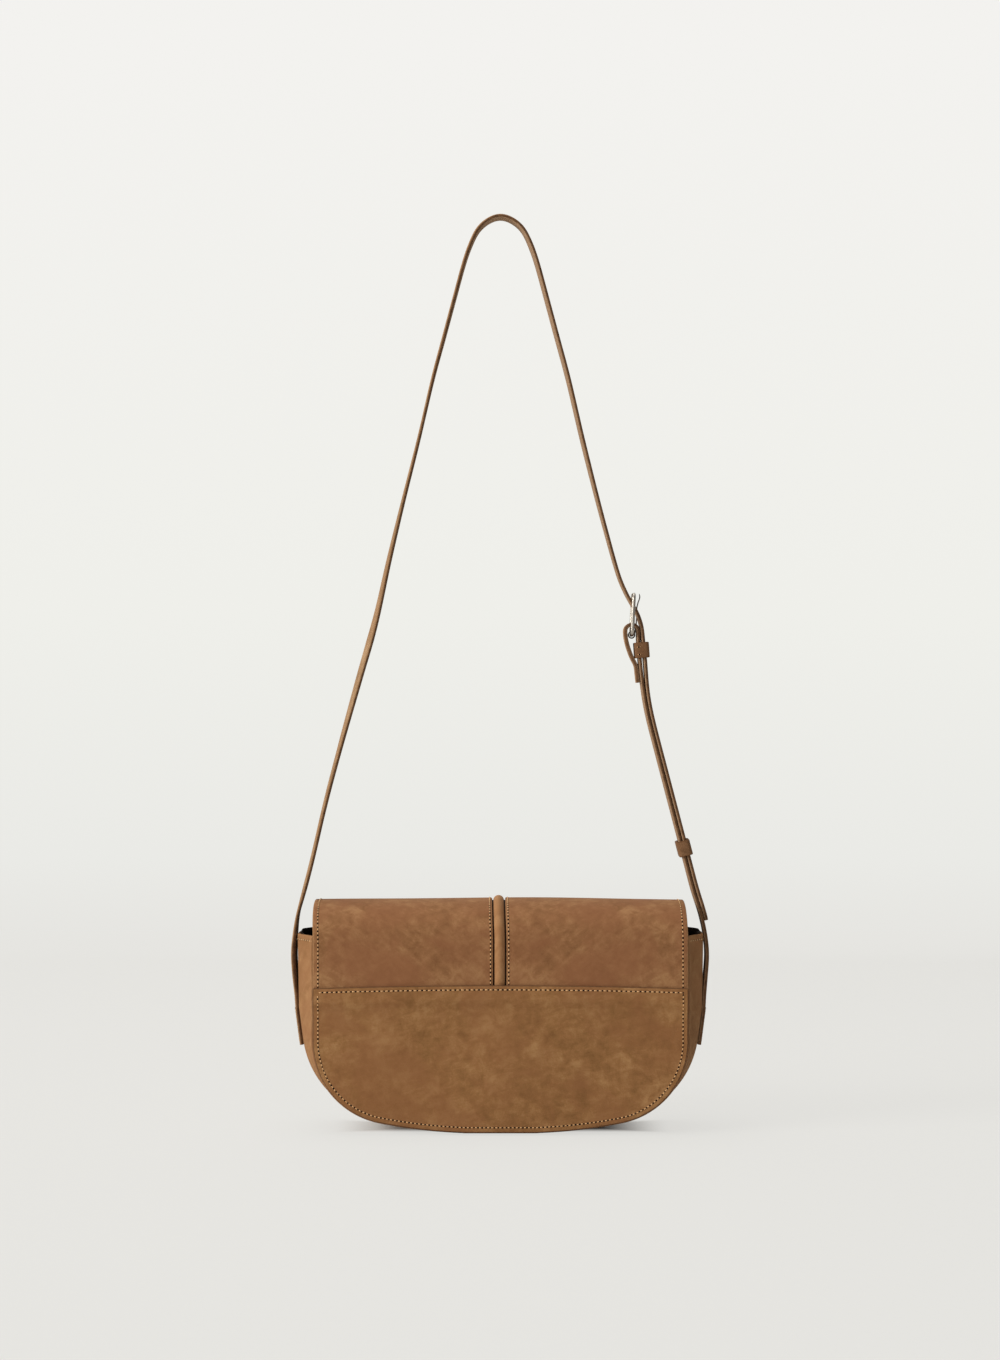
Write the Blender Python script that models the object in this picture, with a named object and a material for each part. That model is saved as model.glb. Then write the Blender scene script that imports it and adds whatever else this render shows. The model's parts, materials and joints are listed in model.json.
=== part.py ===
"""Half moon bag: a nubuck saddle bag with a full flap, a bellied gusset and a buckled shoulder strap.

Metres, +Z up, +X to the right, -Y to the front. The origin is under the middle of the whole bag.
"""

import math

import bmesh
import bpy
from mathutils import Vector

# The room left between two pieces that touch.
GAP = 0.0003

# Bag body: two half moon panels joined by a gusset.
BODY_HALF_WIDTH = 0.116
CORNER_RADIUS = 0.051
BOTTOM_RADIUS = 0.270
FOOT_HALF_WIDTH = 0.022
MOUTH_HEIGHT = 0.120
PANEL_THICKNESS = 0.0018
GUSSET_HALF_DEPTH = 0.026
GUSSET_THICKNESS = 0.0016
LINING_THICKNESS = 0.0008
BULGE_AT_MOUTH = 0.0105
BULGE_AT_TAB = 0.00975
BULGE_AT_CORNER = 0.0080

# Slip pocket sewn to the back lining.
POCKET_HALF_WIDTH = 0.060
POCKET_BOTTOM = 0.040
POCKET_HEIGHT = 0.060
POCKET_ROOM = 0.0056
POCKET_SEAM = 0.0012

# Flap: two upper panels, a rolled ridge between them and a half moon lower panel.
FLAP_MARGIN = 0.0014
FLAP_THICKNESS = 0.0016
FLAP_LINING_INSET = 0.0012
ARCH_RISE = 0.022
BACK_SEAM_HEIGHT = 0.098
FRONT_SEAM_HEIGHT = 0.0890
FRONT_SEAM_CROWN = 0.0018
SEAM_OVERLAP = 0.0080
SEAM_SLOPE = 0.0060
CHANNEL_HALF_WIDTH = 0.0041
ROLL_HALF_WIDTH = 0.0033
ROLL_HEIGHT = 0.0028
LIFT_LIMIT = math.radians(30)
FOLD_LIMIT = math.radians(110)

# Magnetic snap under the flap.
SNAP_HEIGHT = 0.045
SNAP_RADIUS = 0.0075
SNAP_CASE_THICKNESS = 0.0015
SNAP_CASE_WALL = 0.0005
SNAP_MAGNET_BORE = 0.00375
SNAP_DISC_THICKNESS = 0.0013
SNAP_STUD_RADIUS = 0.0025
SNAP_STUD_LENGTH = 0.0008
WASHER_THICKNESS = 0.0005
WASHER_RADIUS = 0.0080
WASHER_BORE = 0.0020

# Strap.
STRAP_WIDTH = 0.014
STRAP_THICKNESS = 0.0023
STRAP_STANDOFF = 0.00125
STRAP_STEP = 0.006
PIVOT_DROP = 0.038
CREST_HEIGHT = 0.5693
TAB_LENGTH = 0.0237
TAB_MARGIN = 0.0006
TAIL_TAPER = 0.012
TAIL_END_RISE = 0.0075
TAIL_END_WIDTH = 0.0060

# Buckle: a wire frame on its heel bar, and the prong that hangs on the same bar.
BUCKLE_LENGTH = 0.0252
BUCKLE_CORNER = 0.0030
BUCKLE_TILT = math.radians(2.7)
WIRE_RADIUS = 0.00115
FRAME_SIDE_ROOM = 0.0006
LOOP_RADIUS = 0.0040
LOOP_LIFT = 0.0024
PRONG_WIDTH = 0.0015
PRONG_THICKNESS = 0.0012
PRONG_EYE_WALL = 0.0008
PRONG_SLOT_ROOM = 0.0005
PRONG_SWING_ROOM = 0.0026
PRONG_BACK_ROOM = 0.0008

# Keepers: leather bands round both layers of the strap.
KEEPER_WALL = 0.0015
KEEPER_HEIGHT = 0.010
KEEPER_ROOM = 0.00035
KEEPER_CORNER = 0.0012
FIXED_KEEPER_DROP = 0.0094

# Shares of the strap's half span and rise, from the crest down, chosen to follow its hang.
UPPER_LEG_SHARES = (
    (0.096, 0.9870), (0.135, 0.9692), (0.172, 0.9433), (0.225, 0.8920), (0.277, 0.8406),
    (0.329, 0.7893), (0.397, 0.7121), (0.470, 0.6350),
)
LEFT_LEG_SHARES = (
    (0.540, 0.5578), (0.605, 0.4806), (0.687, 0.4034), (0.768, 0.3263), (0.845, 0.2491),
    (0.913, 0.1720), (0.957, 0.1270), (0.985, 0.0985),
)
RIGHT_LEG_SHARES = ((0.522, 0.5835), (0.549, 0.5578), (0.578, 0.5321))
SHORT_TOP_SHARES = ((0.717, 0.3520), (0.697, 0.3778), (0.684, 0.4034), (0.674, 0.4290))
SHORT_FOOT_SHARES = ((0.9875, 0.0821), (0.9640, 0.1077))
# The straight stretch that the sliding keeper runs on, its two ends.
RUN_LOW_SHARES = (0.9342, 0.1313)
RUN_HIGH_SHARES = (0.7438, 0.3242)
RUN_POINTS = 8
# Where the sliding keeper sits on that stretch, from its low end.
SLIDING_KEEPER_SHARE = 0.29
# Where the heel bar hangs.
HEEL_BAR_SHARES = (0.6354, 0.4613)
# Shares of the buckle's length, from the heel bar: outward, then along the frame.
THREADED_SHARES = ((-0.238, 1.120), (-0.106, 0.870), (0.078, 0.620), (0.182, 0.385), (0.246, 0.220))
PRONG_SHARES = (
    (0.070, 0.020), (0.096, 0.220), (0.106, 0.450), (0.098, 0.660), (0.122, 0.800), (0.160, 0.940), (0.142, 1.035),
)
PRONG_TIP_SHARE = 0.55
# The folded return of the short strap, outward and along the frame, in shares of the loop's radius.
RETURN_SHARES = ((-1.000, -0.10), (-0.830, -1.00), (-0.530, -2.10), (-0.120, -3.20), (0.300, -4.20))
RETURN_END_SHARE = 8.0

ARC_STEPS = 8
ARCH_STEPS = 12
ROUND_STEPS = 24
CURVE_STEPS = 5

# Sizes that follow from the ones above.
LINING_ROOM = WASHER_THICKNESS + 2 * GAP
PANEL_INNER = GUSSET_HALF_DEPTH + GAP
PANEL_OUTER = PANEL_INNER + PANEL_THICKNESS
PANEL_LINING_OUTER = PANEL_INNER - LINING_ROOM
PANEL_LINING_INNER = PANEL_LINING_OUTER - LINING_THICKNESS
PANEL_LINING_INSET = GUSSET_THICKNESS + GAP + LINING_THICKNESS + GAP
BACK_FLAP_INNER = PANEL_OUTER + GAP
BACK_FLAP_OUTER = BACK_FLAP_INNER + FLAP_THICKNESS
SNAP_STACK = GAP + SNAP_CASE_THICKNESS + GAP + SNAP_DISC_THICKNESS + GAP
FRONT_LINING_INNER = PANEL_OUTER + SNAP_STACK
FRONT_LINING_OUTER = FRONT_LINING_INNER + LINING_THICKNESS
FRONT_FLAP_INNER = FRONT_LINING_OUTER + GAP
FRONT_FLAP_OUTER = FRONT_FLAP_INNER + FLAP_THICKNESS
FRONT_REACH = FRONT_FLAP_OUTER + GAP + FLAP_THICKNESS
BACK_REACH = BACK_FLAP_INNER + ROLL_HEIGHT
# The gusset's middle plane, set so that the whole bag's box is centred front to back.
MID_Y = (FRONT_REACH - BACK_REACH) / 2
FLAP_HALF_WIDTH = BODY_HALF_WIDTH - FLAP_MARGIN
ARCH_HALF_DEPTH = (FRONT_FLAP_OUTER + BACK_FLAP_OUTER) / 2
ARCH_MID_Y = MID_Y + (BACK_FLAP_OUTER - FRONT_FLAP_OUTER) / 2
ROLL_PROUD = ROLL_HEIGHT - FLAP_THICKNESS
PIVOT_HEIGHT = MOUTH_HEIGHT - PIVOT_DROP
PIVOT_RADIUS = STRAP_WIDTH / 2
TAB_TOP = PIVOT_HEIGHT - PIVOT_RADIUS - GAP
STRAP_SIDE_X = BODY_HALF_WIDTH + BULGE_AT_MOUTH + GAP + STRAP_THICKNESS / 2 + STRAP_STANDOFF
STRAP_RISE = CREST_HEIGHT - PIVOT_HEIGHT
LAYER_PITCH = STRAP_THICKNESS + GAP
HEEL_BAR_HEIGHT = PIVOT_HEIGHT + HEEL_BAR_SHARES[1] * STRAP_RISE
HEEL_BAR = Vector((HEEL_BAR_SHARES[0] * STRAP_SIDE_X, MID_Y, HEEL_BAR_HEIGHT))
FLAP_LIFT_AXIS = Vector((0, MID_Y + BACK_FLAP_OUTER, MOUTH_HEIGHT))
FLAP_FOLD_AXIS = Vector((0, MID_Y - FRONT_FLAP_OUTER, MOUTH_HEIGHT))
STRAP_AXIS = Vector((0, MID_Y, PIVOT_HEIGHT))

UPPER_LEATHER = ((0.262, 0.122, 0.053), 0.85, 0.0)
LOWER_LEATHER = ((0.246, 0.119, 0.045), 0.85, 0.0)
SIDE_LEATHER = ((0.300, 0.156, 0.068), 0.85, 0.0)
STRAP_LEATHER = ((0.240, 0.120, 0.055), 0.80, 0.0)
LINING_CLOTH = ((0.020, 0.014, 0.011), 0.90, 0.0)
NICKEL = ((0.560, 0.540, 0.500), 0.30, 1.0)
MAGNET = ((0.080, 0.080, 0.085), 0.45, 1.0)


def material(name, finish):
    """One Principled material for one piece."""
    colour, roughness, metallic = finish
    made = bpy.data.materials.new(name)
    made.use_nodes = True
    shader = made.node_tree.nodes["Principled BSDF"]
    shader.inputs["Base Color"].default_value = (*colour, 1.0)
    shader.inputs["Roughness"].default_value = roughness
    shader.inputs["Metallic"].default_value = metallic
    made.diffuse_color = (*colour, 1.0)
    return made


def pivot(name, place, parent=None):
    """An empty on a joint's axis, which carries the pieces that turn about it."""
    empty = bpy.data.objects.new(name, None)
    bpy.context.collection.objects.link(empty)
    empty["place"] = tuple(place)
    empty.parent = parent
    empty.location = place - (Vector(parent["place"]) if parent else Vector())
    return empty


def piece(name, points, faces, finish, carrier=None):
    """A closed mesh from world points, as one named object with its own material."""
    origin = Vector(carrier["place"]) if carrier else Vector()
    mesh = bpy.data.meshes.new(name)
    mesh.from_pydata([Vector(point) - origin for point in points], [], faces)
    shape = bmesh.new()
    shape.from_mesh(mesh)
    bmesh.ops.recalc_face_normals(shape, faces=shape.faces)
    shape.to_mesh(mesh)
    shape.free()
    mesh.shade_smooth()
    mesh.set_sharp_from_angle(angle=math.radians(35))
    mesh.materials.append(material(name, finish))
    made = bpy.data.objects.new(name, mesh)
    bpy.context.collection.objects.link(made)
    made.parent = carrier
    return made


def cut(target, cutter, operation="DIFFERENCE"):
    """Takes a hidden solid away from a piece, or joins it on."""
    cutter.hide_render = True
    cutter.display_type = "WIRE"
    step = target.modifiers.new(cutter.name, "BOOLEAN")
    step.operation = operation
    step.object = cutter


def plate(name, outline, near_y, far_y, finish, carrier=None):
    """A flat piece: an outline of (x, z) points between two depths."""
    count = len(outline)
    points = [(x, y, z) for y in (near_y, far_y) for x, z in outline]
    faces = [tuple(range(count)), tuple(range(count, 2 * count))]
    faces += [(i, (i + 1) % count, (i + 1) % count + count, i + count) for i in range(count)]
    return piece(name, points, faces, finish, carrier)


def shell(name, outer, inner, finish, carrier=None):
    """A bent sheet between two grids of points with as many rows and columns."""
    rows, columns = len(outer), len(outer[0])
    size = rows * columns
    points = [point for grid in (outer, inner) for row in grid for point in row]
    faces = []
    for i in range(rows - 1):
        for j in range(columns - 1):
            a = i * columns + j
            faces.append((a, a + 1, a + columns + 1, a + columns))
            faces.append(tuple(size + k for k in (a, a + columns, a + columns + 1, a + 1)))
    rim = [(0, j) for j in range(columns)] + [(i, columns - 1) for i in range(1, rows)]
    rim += [(rows - 1, j) for j in range(columns - 2, -1, -1)] + [(i, 0) for i in range(rows - 2, 0, -1)]
    rim = [i * columns + j for i, j in rim]
    faces += [(a, b, size + b, size + a) for a, b in zip(rim, rim[1:] + rim[:1])]
    return piece(name, points, faces, finish, carrier)


def turned(name, centre, profile, finish, carrier=None):
    """A solid turned about a Y axis. The profile holds (radius, depth) points, from and to the axis."""
    points, rings = [], []
    for radius, depth in profile:
        start = len(points)
        if radius > 0:
            for i in range(ROUND_STEPS):
                turn = 2 * math.pi * i / ROUND_STEPS
                points.append(centre + Vector((radius * math.cos(turn), depth, radius * math.sin(turn))))
            rings.append([start + i for i in range(ROUND_STEPS)])
        else:
            points.append(centre + Vector((0, depth, 0)))
            rings.append([start])
    closed = profile[0][0] > 0
    faces = []
    for near, far in zip(rings, rings[1:] + (rings[:1] if closed else [])):
        for i in range(ROUND_STEPS):
            j = (i + 1) % ROUND_STEPS
            quad = [near[i % len(near)], near[j % len(near)], far[j % len(far)], far[i % len(far)]]
            faces.append(tuple(dict.fromkeys(quad)))
    return piece(name, points, faces, finish, carrier)


def half_outline(inset, steps=ARC_STEPS):
    """The right half of the half moon below its straight side, as (x, z, outward x, outward z)."""
    reach = BODY_HALF_WIDTH - CORNER_RADIUS
    lean = math.asin((reach - FOOT_HALF_WIDTH) / (BOTTOM_RADIUS - CORNER_RADIUS))
    corner_z = BOTTOM_RADIUS - (BOTTOM_RADIUS - CORNER_RADIUS) * math.cos(lean)
    found = []
    for i in range(steps + 1):
        turn = (math.pi / 2 - lean) * i / steps
        out_x, out_z = math.cos(turn), -math.sin(turn)
        radius = CORNER_RADIUS - inset
        found.append((reach + radius * out_x, corner_z + radius * out_z, out_x, out_z))
    for i in (1, 2):
        turn = lean * (1 - i / 2)
        out_x, out_z = math.sin(turn), -math.cos(turn)
        radius = BOTTOM_RADIUS - inset
        found.append((FOOT_HALF_WIDTH + radius * out_x, BOTTOM_RADIUS + radius * out_z, out_x, out_z))
    return found


def half_moon(inset, top):
    """The whole half moon outline up to a level top, as (x, z) points."""
    right = [(x, z) for x, z, _, _ in half_outline(inset)]
    right.insert(0, (BODY_HALF_WIDTH - inset, top))
    return right + [(-x, z) for x, z in reversed(right)]


def gusset_stations():
    """The gusset's line from mouth to mouth: (x, z, outward x, outward z, bulge)."""
    corner = half_outline(0)
    right = [
        (BODY_HALF_WIDTH, MOUTH_HEIGHT, 1, 0, BULGE_AT_MOUTH),
        (BODY_HALF_WIDTH, (MOUTH_HEIGHT + TAB_TOP) / 2, 1, 0, (BULGE_AT_MOUTH + BULGE_AT_TAB) / 2),
        (BODY_HALF_WIDTH, TAB_TOP, 1, 0, BULGE_AT_TAB),
    ]
    for i, (x, z, out_x, out_z) in enumerate(corner):
        right.append((x, z, out_x, out_z, BULGE_AT_CORNER * max(0, 1 - i / ARC_STEPS)))
    return right + [(-x, z, -out_x, out_z, bulge) for x, z, out_x, out_z, bulge in reversed(right)]


def side_x(height):
    """How far out the gusset's flat belly stands at a height on the bag's side."""
    corner_z = half_outline(0)[0][1]
    if height > TAB_TOP:
        share = (height - TAB_TOP) / (MOUTH_HEIGHT - TAB_TOP)
        return BODY_HALF_WIDTH + BULGE_AT_TAB + share * (BULGE_AT_MOUTH - BULGE_AT_TAB)
    share = (height - corner_z) / (TAB_TOP - corner_z)
    return BODY_HALF_WIDTH + BULGE_AT_CORNER + share * (BULGE_AT_TAB - BULGE_AT_CORNER)


def seam_z(x):
    """The lower panel's top edge, a little higher in the middle."""
    return FRONT_SEAM_HEIGHT + FRONT_SEAM_CROWN * (1 - (x / FLAP_HALF_WIDTH) ** 2)


def arch_point(x, turn, depth_in):
    """A point on the flap's arch, from the front springing at 0 to the back one at pi."""
    half_depth = ARCH_HALF_DEPTH - depth_in
    y = ARCH_MID_Y - half_depth * math.cos(turn)
    return (x, y, MOUTH_HEIGHT + GAP / 2 + (ARCH_RISE - depth_in) * math.sin(turn))


def smooth_line(points, step=STRAP_STEP):
    """Even steps along a smooth curve through (x, z) points."""
    knots = [Vector(point) for point in points]
    knots = [2 * knots[0] - knots[1]] + knots + [2 * knots[-1] - knots[-2]]
    line = [knots[1]]
    for a, b, c, d in zip(knots, knots[1:], knots[2:], knots[3:]):
        count = max(1, round((c - b).length / step))
        for i in range(1, count + 1):
            t = i / count
            square = 2 * a - 5 * b + 4 * c - d
            cube = 3 * b - a - 3 * c + d
            line.append((2 * b + t * (c - a) + t**2 * square + t**3 * cube) / 2)
    return line


def outward(line):
    """The unit normal at each point of a line, to the left of its direction."""
    found = []
    for i in range(len(line)):
        along = line[min(i + 1, len(line) - 1)] - line[max(i - 1, 0)]
        found.append(Vector((-along.y, along.x)).normalized())
    return found


def ribbon(name, line, widths, finish, carrier=None, normals=None):
    """A flat strap along a line of (x, z) points."""
    faces_out, faces_in = [], []
    for place, normal, width in zip(line, normals or outward(line), widths):
        for rows, side in ((faces_out, 1), (faces_in, -1)):
            edge = place + normal * side * STRAP_THICKNESS / 2
            rows.append([(edge.x, MID_Y - width / 2, edge.y), (edge.x, MID_Y + width / 2, edge.y)])
    return shell(name, faces_out, faces_in, finish, carrier)


def span(shares, side=1):
    """A place on the strap's plane from shares of its half span and rise."""
    return (side * shares[0] * STRAP_SIDE_X, PIVOT_HEIGHT + shares[1] * STRAP_RISE)


def by_buckle(shares, size=BUCKLE_LENGTH):
    """A place beside the buckle from shares of a size, turned with the frame."""
    out, along = shares[0] * size, shares[1] * size
    x = HEEL_BAR.x + out * math.cos(BUCKLE_TILT) + along * math.sin(BUCKLE_TILT)
    return (x, HEEL_BAR.z - out * math.sin(BUCKLE_TILT) + along * math.cos(BUCKLE_TILT))


def strap_foot(side):
    """The strap's way up the bag's side, from its round end to the mouth."""
    low = side_x(PIVOT_HEIGHT) + GAP + STRAP_THICKNESS / 2
    heights = [PIVOT_HEIGHT - PIVOT_RADIUS * math.sin(math.pi / 2 * (1 - i / 4)) for i in range(5)]
    line = [(side * low, height) for height in heights]
    middle = (MOUTH_HEIGHT + PIVOT_HEIGHT) / 2
    line.append((side * (low + STRAP_SIDE_X) / 2, middle - PIVOT_RADIUS))
    line.append((side * STRAP_SIDE_X, middle + PIVOT_RADIUS))
    return line


def foot_widths(line):
    """Full width, but for the round end about the strap's axis."""
    widths = []
    for place in line:
        drop = max(0, PIVOT_HEIGHT - place.y)
        round_half = math.sqrt(max(0, PIVOT_RADIUS**2 - drop**2))
        widths.append(max(2 * round_half, GAP))
    return widths


def short_main():
    """The short strap's own line from its round end up to the start of the buckle loop."""
    low, high = Vector(span(RUN_LOW_SHARES)), Vector(span(RUN_HIGH_SHARES))
    run = [tuple(low.lerp(high, i / (RUN_POINTS - 1))) for i in range(RUN_POINTS)]
    top = (HEEL_BAR.x + LOOP_RADIUS, HEEL_BAR.z + LOOP_LIFT)
    below = (HEEL_BAR.x + LOOP_RADIUS, HEEL_BAR.z - LOOP_LIFT)
    points = strap_foot(1)[4:] + [span(share) for share in SHORT_FOOT_SHARES]
    points += run + [span(share) for share in SHORT_TOP_SHARES] + [below, top]
    return smooth_line(points)


def make_body():
    """The panels, the gusset and what lines them."""
    for name, side, top in (("front_panel", -1, 0), ("back_panel", 1, 0)):
        outline = half_moon(0, MOUTH_HEIGHT - GAP)
        faces = sorted((MID_Y + side * PANEL_INNER, MID_Y + side * PANEL_OUTER))
        plate(name, outline, *faces, SIDE_LEATHER)
    for name, side in (("front_lining", -1), ("back_lining", 1)):
        outline = half_moon(PANEL_LINING_INSET, MOUTH_HEIGHT - GAP)
        faces = sorted((MID_Y + side * PANEL_LINING_INNER, MID_Y + side * PANEL_LINING_OUTER))
        plate(name, outline, *faces, LINING_CLOTH)
    flat = STRAP_WIDTH / 2 + TAB_MARGIN
    section = ((-GUSSET_HALF_DEPTH, 0), (-flat, 1), (flat, 1), (GUSSET_HALF_DEPTH, 0))
    skins = (
        ("gusset", 0, GUSSET_THICKNESS, SIDE_LEATHER),
        ("gusset_lining", GUSSET_THICKNESS + GAP, GUSSET_THICKNESS + GAP + LINING_THICKNESS, LINING_CLOTH),
    )
    for name, near, far, finish in skins:
        grids = []
        for depth in (near, far):
            rows = []
            for x, z, out_x, out_z, bulge in gusset_stations():
                offsets = [(y, bulge * share - depth) for y, share in section]
                rows.append([(x + o * out_x, MID_Y + y, z + o * out_z) for y, o in offsets])
            grids.append(rows)
        shell(name, *grids, finish)


def make_pocket():
    """The slip pocket: a patch with its sewn side and bottom edges against the back lining."""
    back = MID_Y + PANEL_LINING_INNER - GAP
    front = back - POCKET_ROOM - LINING_THICKNESS
    top = POCKET_BOTTOM + POCKET_HEIGHT
    outline = [
        (POCKET_HALF_WIDTH, top), (POCKET_HALF_WIDTH, POCKET_BOTTOM),
        (-POCKET_HALF_WIDTH, POCKET_BOTTOM), (-POCKET_HALF_WIDTH, top),
    ]
    pocket = plate("slip_pocket", outline, front, back, LINING_CLOTH)
    inner = POCKET_HALF_WIDTH - POCKET_SEAM
    hollow = [
        (inner, top + POCKET_SEAM), (inner, POCKET_BOTTOM + POCKET_SEAM),
        (-inner, POCKET_BOTTOM + POCKET_SEAM), (-inner, top + POCKET_SEAM),
    ]
    cutter = plate("pocket_hollow", hollow, front + LINING_THICKNESS, back + GAP, LINING_CLOTH)
    cut(pocket, cutter)


def make_flap_back():
    """The flap's sewn root on the back panel."""
    top = MOUTH_HEIGHT - GAP / 2
    near, far = MID_Y + BACK_FLAP_INNER, MID_Y + BACK_FLAP_OUTER
    for name, side in (("flap_back_left", -1), ("flap_back_right", 1)):
        edges = (side * CHANNEL_HALF_WIDTH, side * FLAP_HALF_WIDTH)
        outline = [(x, BACK_SEAM_HEIGHT) for x in edges] + [(x, top) for x in reversed(edges)]
        plate(name, outline, near, far, UPPER_LEATHER)
    relief = ROLL_PROUD * math.tan(LIFT_LIMIT / 2) + GAP
    straight_roll("roll_back", near, 1, BACK_SEAM_HEIGHT, MOUTH_HEIGHT - relief, None)


def roll_profile():
    """The ridge's half round section: (across, height) from edge to edge."""
    turns = [math.pi * i / (2 * CURVE_STEPS) for i in range(2 * CURVE_STEPS + 1)]
    return [(ROLL_HALF_WIDTH * math.cos(turn), ROLL_HEIGHT * math.sin(turn)) for turn in turns]


def straight_roll(name, base_y, side, low, high, carrier):
    """A straight stretch of the ridge that stands out from a base plane."""
    profile = roll_profile()
    rows = [[(x, base_y + side * height, z) for x, height in profile] for z in (low, high)]
    prism(name, rows, carrier)


def prism(name, rows, carrier):
    """A loft through closed half round rows, with a flat base from edge to edge."""
    count, columns = len(rows), len(rows[0])
    points = [point for row in rows for point in row]
    faces = []
    for i in range(count - 1):
        for j in range(columns):
            a, b = i * columns + j, i * columns + (j + 1) % columns
            faces.append((a, b, b + columns, a + columns))
    faces.append(tuple(range(columns)))
    faces.append(tuple((count - 1) * columns + j for j in range(columns)))
    piece(name, points, faces, UPPER_LEATHER, carrier)


def make_flap_top(carrier):
    """The arch over the mouth, carried by the crease at the back."""
    turns = [math.pi * i / ARCH_STEPS for i in range(ARCH_STEPS + 1)]
    for name, side in (("flap_top_left", -1), ("flap_top_right", 1)):
        edges = (side * CHANNEL_HALF_WIDTH, side * FLAP_HALF_WIDTH)
        depths = (0, FLAP_THICKNESS)
        grids = [[[arch_point(x, turn, depth) for x in edges] for turn in turns] for depth in depths]
        shell(name, *grids, UPPER_LEATHER, carrier)
    half = FLAP_HALF_WIDTH - FLAP_LINING_INSET
    start = FLAP_THICKNESS + GAP
    depths = (start, start + LINING_THICKNESS)
    grids = [[[arch_point(x, turn, depth) for x in (-half, half)] for turn in turns] for depth in depths]
    shell("flap_top_lining", *grids, LINING_CLOTH, carrier)
    front_relief = (ROLL_PROUD * math.tan(FOLD_LIMIT / 2) + GAP) / ARCH_RISE
    back_relief = (ROLL_PROUD * math.tan(LIFT_LIMIT / 2) + GAP) / ARCH_RISE
    span_turn = math.pi - front_relief - back_relief
    rows = []
    for i in range(ARCH_STEPS + 1):
        turn = front_relief + span_turn * i / ARCH_STEPS
        rows.append([arch_point(x, turn, FLAP_THICKNESS - height) for x, height in roll_profile()])
    prism("roll_top", rows, carrier)


def make_flap_front(carrier):
    """The hanging front of the flap, carried by the crease at the front."""
    top = MOUTH_HEIGHT - GAP / 2
    near, far = MID_Y - FRONT_FLAP_OUTER, MID_Y - FRONT_FLAP_INNER
    for name, side in (("flap_front_left", -1), ("flap_front_right", 1)):
        across = [CHANNEL_HALF_WIDTH, FLAP_HALF_WIDTH]
        xs = [across[0] + (across[1] - across[0]) * i / CURVE_STEPS for i in range(CURVE_STEPS + 1)]
        outline = [(side * across[0], top)] + [(side * x, seam_z(x) - SEAM_OVERLAP) for x in xs]
        outline.append((side * across[1], top))
        plate(name, outline, near, far, UPPER_LEATHER, carrier)
    relief = ROLL_PROUD * math.tan(FOLD_LIMIT / 2) + GAP
    straight_roll("roll_front", far, -1, seam_z(0) + GAP, MOUTH_HEIGHT - relief, carrier)
    lining = half_moon(FLAP_MARGIN + FLAP_LINING_INSET, top)
    cloth_faces = (MID_Y - FRONT_LINING_OUTER, MID_Y - FRONT_LINING_INNER)
    plate("flap_front_lining", lining, *cloth_faces, LINING_CLOTH, carrier)
    right = [(x, z) for x, z, _, _ in half_outline(FLAP_MARGIN)]
    columns = right + [(0, right[-1][1])] + [(-x, z) for x, z in reversed(right)]
    step = GAP + FLAP_THICKNESS
    outer, inner = [], []
    for x, low in columns:
        seam = seam_z(x)
        bend = seam - SEAM_OVERLAP - GAP
        flat = bend - SEAM_SLOPE
        rows = ((seam, step), (bend, step), (flat, 0), ((flat + low) / 2, 0), (low, 0))
        outer.append([(x, near - proud, z) for z, proud in rows])
        inner.append([(x, far - proud, z) for z, proud in rows])
    shell("flap_lower_panel", outer, inner, LOWER_LEATHER, carrier)


def make_snap(carrier):
    """The magnetic snap: its cased magnet on the front panel, its stud on the flap's lining."""
    case_back = Vector((0, MID_Y - PANEL_OUTER - GAP, SNAP_HEIGHT))
    rim = -SNAP_CASE_THICKNESS
    inside = SNAP_RADIUS - SNAP_CASE_WALL
    case = [(0, 0), (SNAP_RADIUS, 0), (SNAP_RADIUS, rim), (inside, rim), (inside, -SNAP_CASE_WALL)]
    turned("snap_case", case_back, case + [(0, -SNAP_CASE_WALL)], NICKEL)
    floor = -SNAP_CASE_WALL - GAP
    edge = inside - GAP
    magnet = [(SNAP_MAGNET_BORE, floor), (edge, floor), (edge, rim), (SNAP_MAGNET_BORE, rim)]
    turned("snap_magnet", case_back, magnet, MAGNET)
    disc_back = Vector((0, MID_Y - FRONT_LINING_INNER + GAP, SNAP_HEIGHT))
    face = SNAP_DISC_THICKNESS
    stud = [(0, 0), (SNAP_RADIUS, 0), (SNAP_RADIUS, face), (SNAP_STUD_RADIUS, face)]
    stud += [(SNAP_STUD_RADIUS, face + SNAP_STUD_LENGTH), (0, face + SNAP_STUD_LENGTH)]
    turned("snap_stud", disc_back, stud, NICKEL, carrier)
    washer_back = Vector((0, MID_Y - PANEL_INNER + GAP, SNAP_HEIGHT))
    thick = WASHER_THICKNESS
    washer = [(WASHER_BORE, 0), (WASHER_RADIUS, 0), (WASHER_RADIUS, thick), (WASHER_BORE, thick)]
    turned("snap_washer", washer_back, washer, NICKEL)


def make_tabs():
    """The strap's two ends, sewn flat on the gusset below the strap's own hinge line."""
    bottom = TAB_TOP - TAB_LENGTH
    corner_z = half_outline(0)[0][1]
    for name, side in (("strap_tab_left", -1), ("strap_tab_right", 1)):
        low = Vector((side_x(bottom) + GAP + STRAP_THICKNESS / 2, bottom))
        high = Vector((side_x(TAB_TOP) + GAP + STRAP_THICKNESS / 2, TAB_TOP))
        line = [low, low.lerp(high, (corner_z - bottom) / (TAB_TOP - bottom)), high]
        line = [Vector((side * place.x, place.y)) for place in line]
        flat = [Vector((1, 0))] * len(line)
        ribbon(name, line, [STRAP_WIDTH] * len(line), STRAP_LEATHER, None, flat)


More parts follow.
